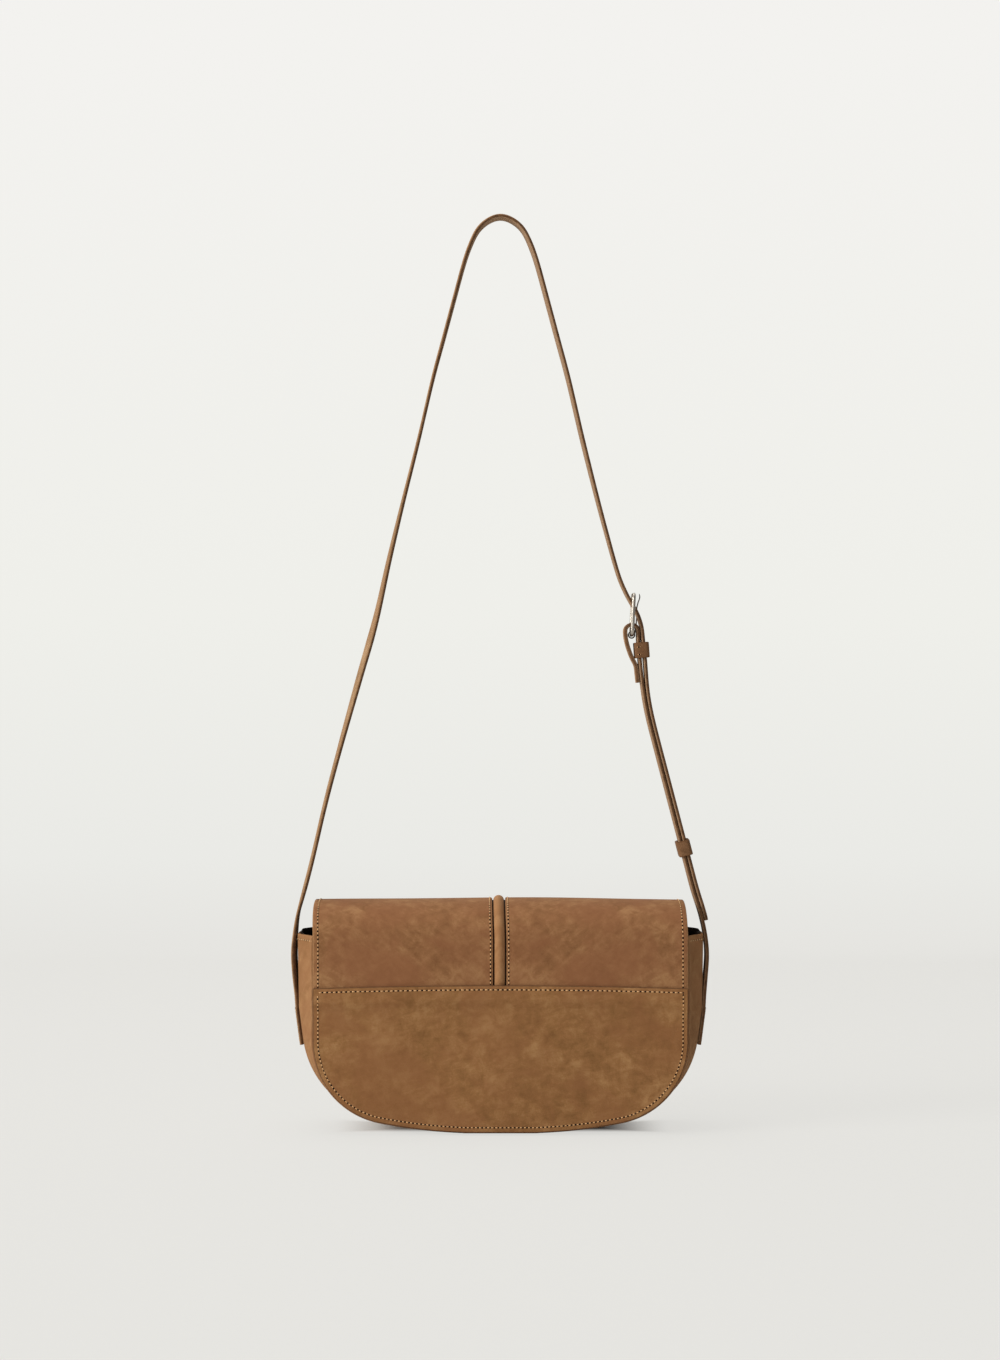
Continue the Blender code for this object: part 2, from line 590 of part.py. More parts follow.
def prong_cutter(name, line, normals, carrier):
    """The slot that the prong needs through a strap, with room for its swing."""
    inner, outer = [], []
    half = PRONG_THICKNESS / 2
    for place, normal in zip(line, normals):
        inner.append(place + normal * (half + PRONG_BACK_ROOM))
        outer.append(place - normal * (half + PRONG_SWING_ROOM))
    outline = [tuple(place) for place in inner + outer[::-1]]
    reach = PRONG_WIDTH / 2 + PRONG_SLOT_ROOM
    return plate(name, outline, MID_Y - reach, MID_Y + reach, NICKEL, carrier)


def prong_line():
    """The prong's middle line and its normals, which point to the buckle's inner side."""
    line = smooth_line([by_buckle(share) for share in PRONG_SHARES], STRAP_STEP / 2)
    return line, outward(line)


def make_straps(carrier):
    """The short strap with its buckle loop, and the long strap threaded through the buckle."""
    main = short_main()
    main_normals = outward(main)
    loop_top = HEEL_BAR.z + LOOP_LIFT
    loop = []
    for i in range(1, ARC_STEPS + 1):
        turn = math.pi * i / ARC_STEPS
        out, rise = LOOP_RADIUS * math.cos(turn), LOOP_RADIUS * math.sin(turn)
        loop.append(Vector((HEEL_BAR.x + out, loop_top + rise)))
    end_low = HEEL_BAR.z - RETURN_END_SHARE * LOOP_RADIUS
    end_high = HEEL_BAR.z + RETURN_SHARES[-1][1] * LOOP_RADIUS
    back_end = [
        place + normal * LAYER_PITCH
        for place, normal in zip(main, main_normals)
        if end_low < place.y < end_high
    ]
    heel = Vector((HEEL_BAR.x, HEEL_BAR.z))
    way = [loop[-1]] + [heel + Vector(share) * LOOP_RADIUS for share in RETURN_SHARES]
    way = smooth_line(way + back_end[::-1])
    short_line = [Vector(place) for place in strap_foot(1)[:4]] + main + loop + way[1:]
    short = ribbon("short_strap", short_line, foot_widths(short_line), STRAP_LEATHER, carrier)

    tail = [place - normal * LAYER_PITCH for place, normal in zip(main, main_normals)]
    tail = [place for place in tail if place.y > MOUTH_HEIGHT + TAIL_END_RISE][::-1]
    crest = [(0, CREST_HEIGHT)]
    upper_left = [span(share, -1) for share in UPPER_LEG_SHARES[::-1]]
    upper_right = [span(share) for share in UPPER_LEG_SHARES]
    left = [span(share, -1) for share in LEFT_LEG_SHARES[::-1]]
    points = strap_foot(-1)[4:] + left + upper_left + crest + upper_right
    points += [span(share) for share in RIGHT_LEG_SHARES]
    points += [by_buckle(share) for share in THREADED_SHARES] + [tuple(tail[0])]
    long_line = [Vector(place) for place in strap_foot(-1)[:4]] + smooth_line(points) + tail[1:]
    widths = foot_widths(long_line)
    for i, place in enumerate(long_line):
        to_end = (place - long_line[-1]).length
        if place.x > 0 and to_end < TAIL_TAPER:
            share = to_end / TAIL_TAPER
            widths[i] = TAIL_END_WIDTH + (STRAP_WIDTH - TAIL_END_WIDTH) * math.sqrt(share)
    long = ribbon("long_strap", long_line, widths, STRAP_LEATHER, carrier)

    line, normals = prong_line()
    cut(short, prong_cutter("loop_slot", line, normals, carrier))
    cut(long, prong_cutter("prong_hole", line, normals, carrier))


def make_buckle(frame_carrier, prong_carrier):
    """The bent wire frame and its prong, both on the heel bar's axis."""
    half_width = STRAP_WIDTH / 2 + FRAME_SIDE_ROOM + WIRE_RADIUS
    corners = ((1, 0), (1, 1), (-1, 1), (-1, 0))
    starts = (-math.pi / 2, 0, math.pi / 2, math.pi)
    wire = bpy.data.curves.new("buckle_frame", "CURVE")
    wire.dimensions = "3D"
    wire.bevel_depth = WIRE_RADIUS
    wire.bevel_resolution = 2
    places = []
    for (side, end), start in zip(corners, starts):
        y = side * (half_width - BUCKLE_CORNER)
        along = end * BUCKLE_LENGTH + (1 - 2 * end) * BUCKLE_CORNER
        for i in range(CURVE_STEPS):
            turn = start + math.pi / 2 * i / (CURVE_STEPS - 1)
            places.append((y + BUCKLE_CORNER * math.cos(turn), along + BUCKLE_CORNER * math.sin(turn)))
    spline = wire.splines.new("POLY")
    spline.points.add(len(places) - 1)
    for point, (y, along) in zip(spline.points, places):
        point.co = (along * math.sin(BUCKLE_TILT), y, along * math.cos(BUCKLE_TILT), 1)
    spline.use_cyclic_u = True
    wire.materials.append(material("buckle_frame", NICKEL))
    frame = bpy.data.objects.new("buckle_frame", wire)
    bpy.context.collection.objects.link(frame)
    frame.parent = frame_carrier

    line, normals = prong_line()
    outer, inner = [], []
    for i, (place, normal) in enumerate(zip(line, normals)):
        share = 1 - (1 - PRONG_TIP_SHARE) * (i / (len(line) - 1)) ** 2
        for rows, side in ((outer, -1), (inner, 1)):
            edge = place + normal * side * share * PRONG_THICKNESS / 2
            reach = share * PRONG_WIDTH / 2
            rows.append([(edge.x, MID_Y - reach, edge.y), (edge.x, MID_Y + reach, edge.y)])
    prong = shell("buckle_prong", outer, inner, NICKEL, prong_carrier)
    bore = WIRE_RADIUS + GAP
    ring = bore + PRONG_EYE_WALL
    half = PRONG_WIDTH / 2
    solid_ring = [(0, -half), (ring, -half), (ring, half), (0, half)]
    eye = turned("prong_eye", HEEL_BAR, solid_ring, NICKEL, prong_carrier)
    cut(prong, eye, "UNION")
    through = [(0, -ring), (bore, -ring), (bore, ring), (0, ring)]
    hole = turned("prong_bore", HEEL_BAR, through, NICKEL, prong_carrier)
    cut(prong, hole)


def band_loop(half_out, half_across, radius):
    """A rounded rectangle, as (out, across) points."""
    found = []
    for quarter, (a, b) in enumerate(((1, 1), (-1, 1), (-1, -1), (1, -1))):
        for i in range(CURVE_STEPS):
            turn = math.pi / 2 * (quarter + i / (CURVE_STEPS - 1))
            found.append((
                a * (half_out - radius) + radius * math.cos(turn),
                b * (half_across - radius) + radius * math.sin(turn),
            ))
    return found


def make_keeper(name, centre, along, carrier):
    """A leather band round both layers of the strap, open at both ends."""
    out = Vector((along.y, -along.x))
    half_out = LAYER_PITCH / 2 + STRAP_THICKNESS / 2 + KEEPER_ROOM
    half_across = STRAP_WIDTH / 2 + KEEPER_ROOM
    inner = band_loop(half_out, half_across, GAP)
    outer = band_loop(half_out + KEEPER_WALL, half_across + KEEPER_WALL, KEEPER_CORNER)
    points = []
    for ring in (outer, inner):
        for end in (-1, 1):
            for a, b in ring:
                place = centre + out * a + along * end * KEEPER_HEIGHT / 2
                points.append((place.x, MID_Y + b, place.y))
    count = len(outer)
    rings = [[start * count + i for i in range(count)] for start in range(4)]
    order = (rings[0], rings[1], rings[3], rings[2])
    faces = []
    for near, far in zip(order, order[1:] + order[:1]):
        for i in range(count):
            j = (i + 1) % count
            faces.append((near[i], near[j], far[j], far[i]))
    piece(name, points, faces, STRAP_LEATHER, carrier)


def make_keepers(strap, slider):
    """The keeper sewn below the buckle, and the one that slides on the straight run."""
    main = short_main()
    drop = HEEL_BAR.z - FIXED_KEEPER_DROP
    i = min(range(len(main)), key=lambda k: abs(main[k].y - drop))
    along = (main[i + 1] - main[i - 1]).normalized()
    centre = main[i] + Vector((along.y, -along.x)) * LAYER_PITCH / 2
    make_keeper("fixed_keeper", centre, along, strap)
    along = (Vector(span(RUN_HIGH_SHARES)) - Vector(span(RUN_LOW_SHARES))).normalized()
    make_keeper("sliding_keeper", keeper_place(), along, slider)


def keeper_place():
    """The sliding keeper's middle, between the strap's two layers."""
    low, high = Vector(span(RUN_LOW_SHARES)), Vector(span(RUN_HIGH_SHARES))
    along = (high - low).normalized()
    return low.lerp(high, SLIDING_KEEPER_SHARE) + Vector((along.y, -along.x)) * LAYER_PITCH / 2


def main():
    for old in list(bpy.data.objects):
        bpy.data.objects.remove(old)
    flap_lift = pivot("flap_lift_axis", FLAP_LIFT_AXIS)
    flap_fold = pivot("flap_fold_axis", FLAP_FOLD_AXIS, flap_lift)
    strap_swing = pivot("strap_swing_axis", STRAP_AXIS)
    buckle_tilt = pivot("buckle_tilt_axis", HEEL_BAR, strap_swing)
    prong_swing = pivot("prong_swing_axis", HEEL_BAR, buckle_tilt)
    place = keeper_place()
    keeper_slide = pivot("keeper_slide_axis", Vector((place.x, MID_Y, place.y)), strap_swing)
    make_body()
    make_pocket()
    make_flap_back()
    make_flap_top(flap_lift)
    make_flap_front(flap_fold)
    make_snap(flap_fold)
    make_tabs()
    make_straps(strap_swing)
    make_buckle(buckle_tilt, prong_swing)
    make_keepers(strap_swing, keeper_slide)


main()
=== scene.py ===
"""The looks of the half moon bag: nubuck panels, stitches, lining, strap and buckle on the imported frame."""

import json
import math
import random

import bmesh
import bpy
import numpy as np
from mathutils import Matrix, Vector


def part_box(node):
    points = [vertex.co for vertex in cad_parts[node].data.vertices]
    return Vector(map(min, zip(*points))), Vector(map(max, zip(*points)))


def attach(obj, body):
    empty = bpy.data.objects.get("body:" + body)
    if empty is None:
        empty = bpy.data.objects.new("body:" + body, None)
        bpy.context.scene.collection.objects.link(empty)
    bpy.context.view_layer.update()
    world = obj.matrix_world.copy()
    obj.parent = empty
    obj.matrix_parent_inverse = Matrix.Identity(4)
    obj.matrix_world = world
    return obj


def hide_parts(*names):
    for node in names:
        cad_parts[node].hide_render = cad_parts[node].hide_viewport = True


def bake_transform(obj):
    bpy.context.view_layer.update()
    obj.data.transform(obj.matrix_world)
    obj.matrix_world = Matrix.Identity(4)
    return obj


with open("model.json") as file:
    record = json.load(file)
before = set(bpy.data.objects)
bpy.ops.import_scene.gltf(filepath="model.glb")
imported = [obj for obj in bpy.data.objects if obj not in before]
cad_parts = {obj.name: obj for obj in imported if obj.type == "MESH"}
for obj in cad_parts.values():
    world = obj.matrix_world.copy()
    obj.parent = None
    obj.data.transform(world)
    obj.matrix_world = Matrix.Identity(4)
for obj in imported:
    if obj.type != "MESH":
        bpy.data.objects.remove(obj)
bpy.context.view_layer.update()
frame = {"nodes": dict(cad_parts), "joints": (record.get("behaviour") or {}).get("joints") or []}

MM = 0.001
joints = {joint["name"]: joint for joint in frame["joints"]}
node_box = {name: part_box(name) for name in frame["nodes"]}

# Places that come from the frame.
MID_Y = (node_box["gusset"][0].y + node_box["gusset"][1].y) / 2
MOUTH_Z = joints["flap_lift"]["pos_m"][2]
BACK_Y = joints["flap_lift"]["pos_m"][1]
FRONT_Y = joints["flap_fold"]["pos_m"][1]
BODY_HALF = node_box["front_panel"][1].x
FLAP_HALF = node_box["flap_lower_panel"][1].x
FLAP_INSET = BODY_HALF - FLAP_HALF
CREST_Z = node_box["flap_top_left"][1].z
BACK_SEAM_Z = node_box["flap_back_left"][0].z
SEAM_MID_Z = node_box["flap_lower_panel"][1].z
PANEL_FRONT_Y = node_box["front_panel"][0].y
PANEL_BACK_Y = node_box["back_panel"][1].y
GUSSET_HALF_DEPTH = (node_box["gusset"][1].y - node_box["gusset"][0].y) / 2
STRAP_AXIS_Z = joints["strap_swing"]["pos_m"][2]
HEEL = Vector(joints["buckle_tilt"]["pos_m"])
TAB_BOTTOM_Z = node_box["strap_tab_left"][0].z
TAB_TOP_Z = node_box["strap_tab_left"][1].z
STRAP_TOP_Z = node_box["long_strap"][1].z

# The half moon's own radii, as in the part's source.
CORNER_R = 51 * MM
BOTTOM_R = 270 * MM
FOOT_HALF = 22 * MM
SEAM_CROWN = 1.8 * MM

# Leather and lining.
LEATHER = 1.6 * MM
PANEL = 1.8 * MM
LINING = 0.8 * MM
GAP = 0.3 * MM
# How far the lining's twill is turned, in radians.
TWILL_TURN = 0.6

# Stitches and sewn edges.
SEAM_PITCH = 2.9 * MM
EDGE_PITCH = 2.5 * MM
STITCH_RADIUS = 0.34 * MM
HOLE_RADIUS = 0.54 * MM
HOLE_LONG = 1.25
# How much of a stitch's step a hole takes, and how stitches and holes vary.
HOLE_SHARE = 1.7
STITCH_LENGTHS = (0.94, 1.0)
STITCH_SLANTS = (-0.07, 0.07)
HOLE_SIZES = (0.85, 1.1)
STITCH_SIDES = 8
# Rings of a stitch: share of its half length, lift and thickness in its radii.
THREAD_RINGS = ((-1, -0.55, 0.5), (-0.7, 0.05, 0.9), (0, 0.30, 1.0), (0.7, 0.05, 0.9), (1, -0.55, 0.5))
# Rings of a hole, a dark cap of painted shade: rise in millimetres and width in its radii.
HOLE_RINGS = ((0.06, 0.5), (0.05, 0.85), (0.0, 1.0), (-0.25, 0.7))
EDGE_MARGIN = 2.6 * MM
# How far the rows of stitches lie from the edge or seam that each follows, and where they end.
CHANNEL_ROW = 1.5 * MM
BACK_ROW, BACK_ROW_START = 1.8 * MM, 2.0 * MM
LOWER_ROW, UPPER_ROW_END, RIM_ROW_START = 2.1 * MM, 0.8 * MM, 3.5 * MM
BODY_ROW_START, MOUTH_ROW, MOUTH_ROW_ENDS = 2.5 * MM, 2.2 * MM, 4 * MM
GUSSET_ROW, GUSSET_ROW_ENDS = 2.7 * MM, 1 * MM
TAB_ROW, TAB_ROW_LOW, TAB_ROW_HIGH = 1.6 * MM, 1.5 * MM, 1.0 * MM
TAB_CROSS_LOW, TAB_CROSS_HIGH, TAB_CROSS_ENDS = 1.6 * MM, 0.8 * MM, 2.4 * MM
EDGE_BULGE = 0.6 * MM
# A sheet's edge: steps round it and how full it is.
EDGE_STEPS = 4
EDGE_FULLNESS = 0.8
# The small step that slopes are measured over.
NUDGE = 0.4 * MM

# The half moon's outline is eased inward between its sides and its foot.
CORNER_EASE = 0.9 * MM
EASE_POWER = 0.7
CORNER_STEPS, LOW_STEPS, FOOT_STEPS = 26, 30, 8

# The flap over the mouth and its hanging front.
END_DROOP = 1.1 * MM
DROOP_POWER = 2.3
ARCH_FULLNESS = 0.84
FLAP_LEAN = -0.7 * MM
TOP_WAVE = 0.25 * MM
HANG_START, HANG_FULL = -6 * MM, 16 * MM
BACK_STEPS, ARCH_STEPS, FRONT_STEPS = 23, 72, 99
SEAM_OVERLAP = 7.4 * MM
# The lower panel's step over the upper ones, its rolled top edge and its swell: amount, place and reach.
STEP_START, STEP_END = 7.6 * MM, 15 * MM
EDGE_ROLL, ROLL_REACH = 0.25 * MM, 2.5 * MM
SWELL, SWELL_PLACE, SWELL_REACH = 0.35 * MM, 12 * MM, 9 * MM
FLAP_LINING_INSET, FLAP_LINING_START = 1.2 * MM, 0.5 * MM

# Panels, gusset and pocket.
PANEL_LINING_INSET = 3.0 * MM
PANEL_SOFTNESS = 0.35 * MM
BULGE_MOUTH = 10.5 * MM
BULGE_TAB = 9.75 * MM
BULGE_CORNER = 7.2 * MM
# Stations over which the gusset's belly fades along the corner arc.
BELLY_STATIONS = 24
BELLY_ROUND, BELLY_STRAIGHT = 0.55, 0.45
CREEP, CREEP_START, CREEP_END = 0.25 * MM, 8 * MM, 4 * MM
GUSSET_LINING_INSET = 1.3 * MM
LINING_STAND = 2.0 * MM
STAND_START, STAND_FULL = -16 * MM, -2 * MM
# Shares of the stand at the lining's first stations.
STAND_SHARES = (1.0, 0.85, 0.6, 0.35, 0.15)
POCKET_SEWN = 12 * MM
HEM_RISE, HEM_THICKNESS = 0.5 * MM, 0.4 * MM

# Magnetic snap. Its profiles start a hair off the axis.
SNAP_AXIS = 0.02 * MM
CASE_WALL = 0.5 * MM
STUD_FACE, STUD_RADIUS = 1.3 * MM, 2.5 * MM
MAGNET_BORE, WASHER_BORE = 3.75 * MM, 2.0 * MM
CASE_SOFTNESS, RING_SOFTNESS, STUD_SOFTNESS = 0.12 * MM, 0.15 * MM, 0.3 * MM

# Ridge and channel. The ridge narrows where it goes under the lower panel.
CHANNEL_HALF = 4.1 * MM
RIDGE_HALF = 3.3 * MM
RIDGE_X = -0.5 * MM
RIDGE_PROUD = 1.45 * MM
RIDGE_FLANGE = 0.6 * MM
RIDGE_SKIN = 0.25 * MM
RIDGE_LEAST = 0.05 * MM
RIDGE_END = 6 * MM
TUCK_START, TUCK_FULL, TUCK_SHARE = 3.5 * MM, -1 * MM, 0.42

# Strap.
STRAP_W = 14 * MM
STRAP_T = 2.3 * MM
STRAP_PITCH = STRAP_T + GAP
FLAT_HALF = STRAP_W / 2 + 0.6 * MM
STRAP_STANDOFF = 1.25 * MM
STRAP_CORNER = 1.1 * MM
# The dark band of edge paint, its margin, and how far from the middle it has changed corners. The band is
# real edge paint; moving it to each leg's side away from the key light is painted shade.
EDGE_BAND = 1.33 * MM
BAND_MARGIN = 0.12 * MM
BAND_SHADE_TURN = 40 * MM
FACE_STEPS = 9
# Moves the back's flat coordinates away from the face's.
BACK_SHIFT = 0.05
STITCH_SINK = 0.24 * MM
# The tail stops a little above the mouth, bows out past the buckle and narrows to its tip.
TAIL_RISE = 7.5 * MM
TAIL_BOW, BOW_DROP, BOW_REACH = 0.7 * MM, 16 * MM, 13 * MM
TAIL_TAPER, TAIL_END = 12 * MM, 6 * MM

# Buckle.
BUCKLE_LONG = 25.2 * MM
BUCKLE_TILT = math.radians(2.7)
BUCKLE_CORNER = 3.0 * MM
WIRE, WIRE_ROOM = 1.15 * MM, 0.6 * MM
LOOP_R = 4.0 * MM
LOOP_LIFT = 2.4 * MM
LOOP_STEPS = 24
RETURN_STEP, PRONG_STEP = 1.5 * MM, 3 * MM
PRONG_RADIUS, PRONG_TAPER, PRONG_TIP = 0.52 * MM, 0.3, (0.9, 0.7, 0.35)
EYE_RADIUS, EYE_WIRE, EYE_STEPS = 1.95 * MM, 0.42 * MM, 32

# Keepers.
KEEPER_WALL = 1.5 * MM
KEEPER_HALF = 4.9 * MM
KEEPER_ROOM = 0.35 * MM
KEEPER_CORNER, KEEPER_BORE_CORNER = 2.4 * MM, 0.3 * MM
KEEPER_SOFT, KEEPER_CROWN = 0.7 * MM, 0.12 * MM
# The lap of the fixed keeper, its two rows of stitches and their ends beside the lap.
KEEPER_JOINT = -1.8 * MM
KEEPER_ROWS = (KEEPER_HALF - 2.9 * MM, 2.2 * MM - KEEPER_HALF)
KEEPER_ROW_ENDS = (1.6 * MM, -0.1 * MM)
KEEPER_PITCH = 1.7 * MM
FIXED_KEEPER_DROP = 9.4 * MM
SLIDING_KEEPER_SHARE = 0.29

random.seed(7)


def colour(r, g, b):
    """A linear colour from the 0 to 255 values that it should show."""
    linear = [((c / 255 + 0.055) / 1.055) ** 2.4 if c > 10 else c / 255 / 12.92 for c in (r, g, b)]
    return (*linear, 1.0)


# Stage and camera, in metres.
FLOOR_DROP = 0.9 * MM
FLOOR_FRONT, FLOOR_HALF, WALL_TOP, WALL_BEND, WALL_START = -2.6, 3.0, 2.2, 0.6, 1.1
BACKDROP_LOW = colour(230, 229, 225)
BACKDROP_MID = colour(234, 234, 230)
BACKDROP_TALL = colour(239, 239, 234)
BACKDROP_HIGH = colour(243, 242, 239)
BACKDROP_START, BACKDROP_FULL, BACKDROP_SPAN = 0.2, 1.2, 1.2
# How much of the floor's own tone shows, and the box round the bag, by |x| and by |y|, inside which it gives
# way to the lit floor: the reach of the bag's contact shadow is painted by this box.
FLOOR_OWN_TONE = 0.85
PAINTED_SHADOW_X = (0.5 * BODY_HALF, 0.93 * BODY_HALF)
PAINTED_SHADOW_Y = (0.25 * GUSSET_HALF_DEPTH, 0.9 * GUSSET_HALF_DEPTH)
# The room's light from the left and from the right, and the strength that the camera sees.
ROOM_LEFT, ROOM_RIGHT, ROOM_SHOWN = 0.64, 0.11, 0.86
PHOTO_WIDTH = 1000
PIXEL = 0.6265 * MM
SENSOR = 36
CAMERA_AWAY, CAMERA_HEIGHT = 1.650, 0.2786


def new_material(name):
    made = bpy.data.materials.new(name)
    made.use_nodes = True
    tree = made.node_tree
    shader = tree.nodes["Principled BSDF"]
    return made, tree, shader


def add(tree, kind, **values):
    node = tree.nodes.new(kind)
    for key, value in values.items():
        setattr(node, key, value)
    return node


def set_inputs(node, **values):
    """Sets a node's inputs; an underscore in a key stands for a space in the input's name."""
    for key, value in values.items():
        node.inputs[key.replace("_", " ")].default_value = value


def math_node(tree, operation, a, b=None, clamp=False):
    node = add(tree, "ShaderNodeMath", operation=operation, use_clamp=clamp)
    for index, value in enumerate((a, b)):
        if value is None:
            continue
        if isinstance(value, (int, float)):
            node.inputs[index].default_value = value
        else:
            tree.links.new(value, node.inputs[index])
    return node.outputs[0]


def noise_node(tree, coords, scale, detail=4.0, roughness=0.55, stretch=(1, 1, 1), turn=0.0, distortion=0.0):
    """A noise whose grains are stretch times as long along its own axes, turned by an angle."""
    mapping = add(tree, "ShaderNodeMapping", vector_type="TEXTURE")
    set_inputs(mapping, Scale=stretch, Rotation=(0, 0, turn))
    tree.links.new(coords, mapping.inputs["Vector"])
    node = add(tree, "ShaderNodeTexNoise")
    set_inputs(node, Scale=scale, Detail=detail, Roughness=roughness, Distortion=distortion)
    tree.links.new(mapping.outputs[0], node.inputs["Vector"])
    return node.outputs["Fac"]


def ramp_node(tree, value, stops):
    node = add(tree, "ShaderNodeValToRGB")
    ramp = node.color_ramp
    while len(ramp.elements) < len(stops):
        ramp.elements.new(0.5)
    for element, (place, shade) in zip(ramp.elements, stops):
        element.position = place
        element.color = shade
    tree.links.new(value, node.inputs[0])
    return node.outputs[0]


def mix_colour(tree, factor, a, b, blend="MIX"):
    node = add(tree, "ShaderNodeMix", data_type="RGBA", blend_type=blend)
    for socket, value in ((node.inputs[0], factor), (node.inputs[6], a), (node.inputs[7], b)):
        if isinstance(value, (int, float, tuple)):
            socket.default_value = value
        else:
            tree.links.new(value, socket)
    return node.outputs[2]


def weighted(tree, *parts):
    """The sum of values, each times its share."""
    total = None
    for value, share in parts:
        value = math_node(tree, "MULTIPLY", value, share)
        total = value if total is None else math_node(tree, "ADD", total, value)
    return total


def add_bump(tree, shader, height, strength, distance):
    bump = add(tree, "ShaderNodeBump")
    set_inputs(bump, Strength=strength, Distance=distance)
    tree.links.new(height, bump.inputs["Height"])
    tree.links.new(bump.outputs[0], shader.inputs["Normal"])


def nubuck(name, dark, middle, light, red, brush_turn=-0.7):
    """Brushed nubuck on the sheet's own flat coordinates: marbled patches, brush strokes and a fine nap.

    dark to light is the marbling; red is the warmer tone that some patches lean to.
    """
    dark, middle, light, red = (colour(*tone) for tone in (dark, middle, light, red))
    made, tree, shader = new_material(name)
    coords = add(tree, "ShaderNodeUVMap", uv_map="flat").outputs[0]
    clouds = noise_node(tree, coords, 17, 3, 0.5, distortion=1.2)
    patches = noise_node(tree, coords, 62, 6, 0.62, distortion=0.9)
    strokes = noise_node(tree, coords, 190, 6, 0.65, stretch=(3.6, 0.8, 1), turn=brush_turn, distortion=0.5)
    cross_turn = brush_turn + 1.25
    crossing = noise_node(tree, coords, 170, 6, 0.65, stretch=(2.6, 0.8, 1), turn=cross_turn, distortion=0.6)
    mottle = noise_node(tree, coords, 150, 8, 0.7, distortion=0.6)
    fine = noise_node(tree, coords, 1100, 3, 0.7)
    tone = weighted(
        tree, (clouds, 0.20), (patches, 0.26), (mottle, 0.26), (strokes, 0.15), (crossing, 0.06), (fine, 0.09)
    )
    base = ramp_node(tree, tone, ((0.415, dark), (0.5, middle), (0.585, light)))
    hue = noise_node(tree, coords, 24, 4, 0.6, distortion=0.7)
    lean = ramp_node(tree, hue, ((0.42, (0, 0, 0, 1)), (0.62, (0.7, 0.7, 0.7, 1))))
    base = mix_colour(tree, lean, base, red)
    tree.links.new(base, shader.inputs["Base Color"])
    set_inputs(shader, Roughness=0.9, Specular_IOR_Level=0.15)
    set_inputs(shader, Sheen_Weight=0.06, Sheen_Roughness=0.5, Sheen_Tint=colour(200, 165, 120))
    add_bump(tree, shader, weighted(tree, (fine, 0.7), (strokes, 0.6)), 0.4, 0.3 * MM)
    return made


def plain_leather(name, dark, light, roughness=0.6, scale=400):
    """Edge paint, thread or raw edge: a fine noise between two colours."""
    made, tree, shader = new_material(name)
    coords = add(tree, "ShaderNodeTexCoord").outputs["Object"]
    value = noise_node(tree, coords, scale, 4, 0.6)
    base = ramp_node(tree, value, ((0.35, dark), (0.65, light)))
    tree.links.new(base, shader.inputs["Base Color"])
    set_inputs(shader, Roughness=roughness, Specular_IOR_Level=0.2)
    add_bump(tree, shader, value, 0.3, 0.1 * MM)
    return made


def woven(name, dark, light):
    """Fine twill lining."""
    made, tree, shader = new_material(name)
    coords = add(tree, "ShaderNodeUVMap", uv_map="flat").outputs[0]
    threads = []
    for turn in (0.0, math.pi / 2):
        mapping = add(tree, "ShaderNodeMapping")
        set_inputs(mapping, Rotation=(0, 0, turn + TWILL_TURN))
        tree.links.new(coords, mapping.inputs["Vector"])
        wave = add(tree, "ShaderNodeTexWave", wave_type="BANDS", bands_direction="X")
        set_inputs(wave, Scale=320, Distortion=0.6)
        tree.links.new(mapping.outputs[0], wave.inputs["Vector"])
        threads.append(wave.outputs["Fac"])
    weave = math_node(tree, "MAXIMUM", threads[0], math_node(tree, "MULTIPLY", threads[1], 0.7))
    cloud = noise_node(tree, coords, 45, 4)
    base = ramp_node(tree, weighted(tree, (weave, 0.55), (cloud, 0.45)), ((0.2, dark), (0.85, light)))
    tree.links.new(base, shader.inputs["Base Color"])
    set_inputs(shader, Roughness=0.85, Specular_IOR_Level=0.12)
    add_bump(tree, shader, weave, 0.5, 0.15 * MM)
    return made


def metal(name, shade, roughness):
    """Plated metal with a faint variation in its tone and roughness."""
    made, tree, shader = new_material(name)
    coords = add(tree, "ShaderNodeTexCoord").outputs["Object"]
    marks = noise_node(tree, coords, 240, 3, 0.5)
    tone = ramp_node(tree, marks, ((0.3, tuple(c * 0.9 for c in shade[:3]) + (1,)), (0.7, shade)))
    tree.links.new(tone, shader.inputs["Base Color"])
    set_inputs(shader, Metallic=1.0)
    rough = math_node(tree, "ADD", math_node(tree, "MULTIPLY", marks, 0.10), roughness - 0.05)
    tree.links.new(rough, shader.inputs["Roughness"])
    add_bump(tree, shader, marks, 0.03, 0.05 * MM)
    return made


# Nubucks: dark, middle, light, and the warmer tone.
UPPER = nubuck("upper_nubuck", (119, 80, 49), (139, 97, 63), (161, 119, 80), (134, 88, 58))
LOWER = nubuck("lower_nubuck", (120, 83, 47), (141, 100, 61), (162, 121, 79), (134, 90, 56), brush_turn=0.2)
SIDE = nubuck("side_nubuck", (126, 88, 54), (142, 102, 66), (158, 117, 79), (139, 96, 62))
STRAP_SKIN = nubuck("strap_nubuck", (128, 98, 68), (144, 112, 80), (160, 128, 95), (142, 106, 74))
# Painted light: the roll's nubuck is a lighter copy of the panels' leather, for the light that its rounded
# top catches.
ROLL_LIT_SKIN = nubuck("roll_nubuck", (136, 97, 62), (154, 112, 74), (170, 128, 88), (150, 105, 68))
KEEPER_SKIN = nubuck("keeper_nubuck", (96, 66, 42), (112, 80, 54), (128, 94, 66), (108, 74, 48))
RAW = plain_leather("raw_suede", colour(120, 84, 56), colour(142, 102, 70), 0.95)
EDGE = plain_leather("painted_edge", colour(96, 64, 38), colour(114, 78, 48), 0.8)
CUT_EDGE = plain_leather("cut_edge", colour(134, 96, 62), colour(160, 118, 80), 0.9, 900)
STRAP_EDGE = plain_leather("strap_edge", colour(84, 57, 35), colour(112, 79, 51), 0.8, 300)
STRAP_BACK = plain_leather("strap_back", colour(136, 106, 79), colour(156, 126, 98), 0.95, 900)
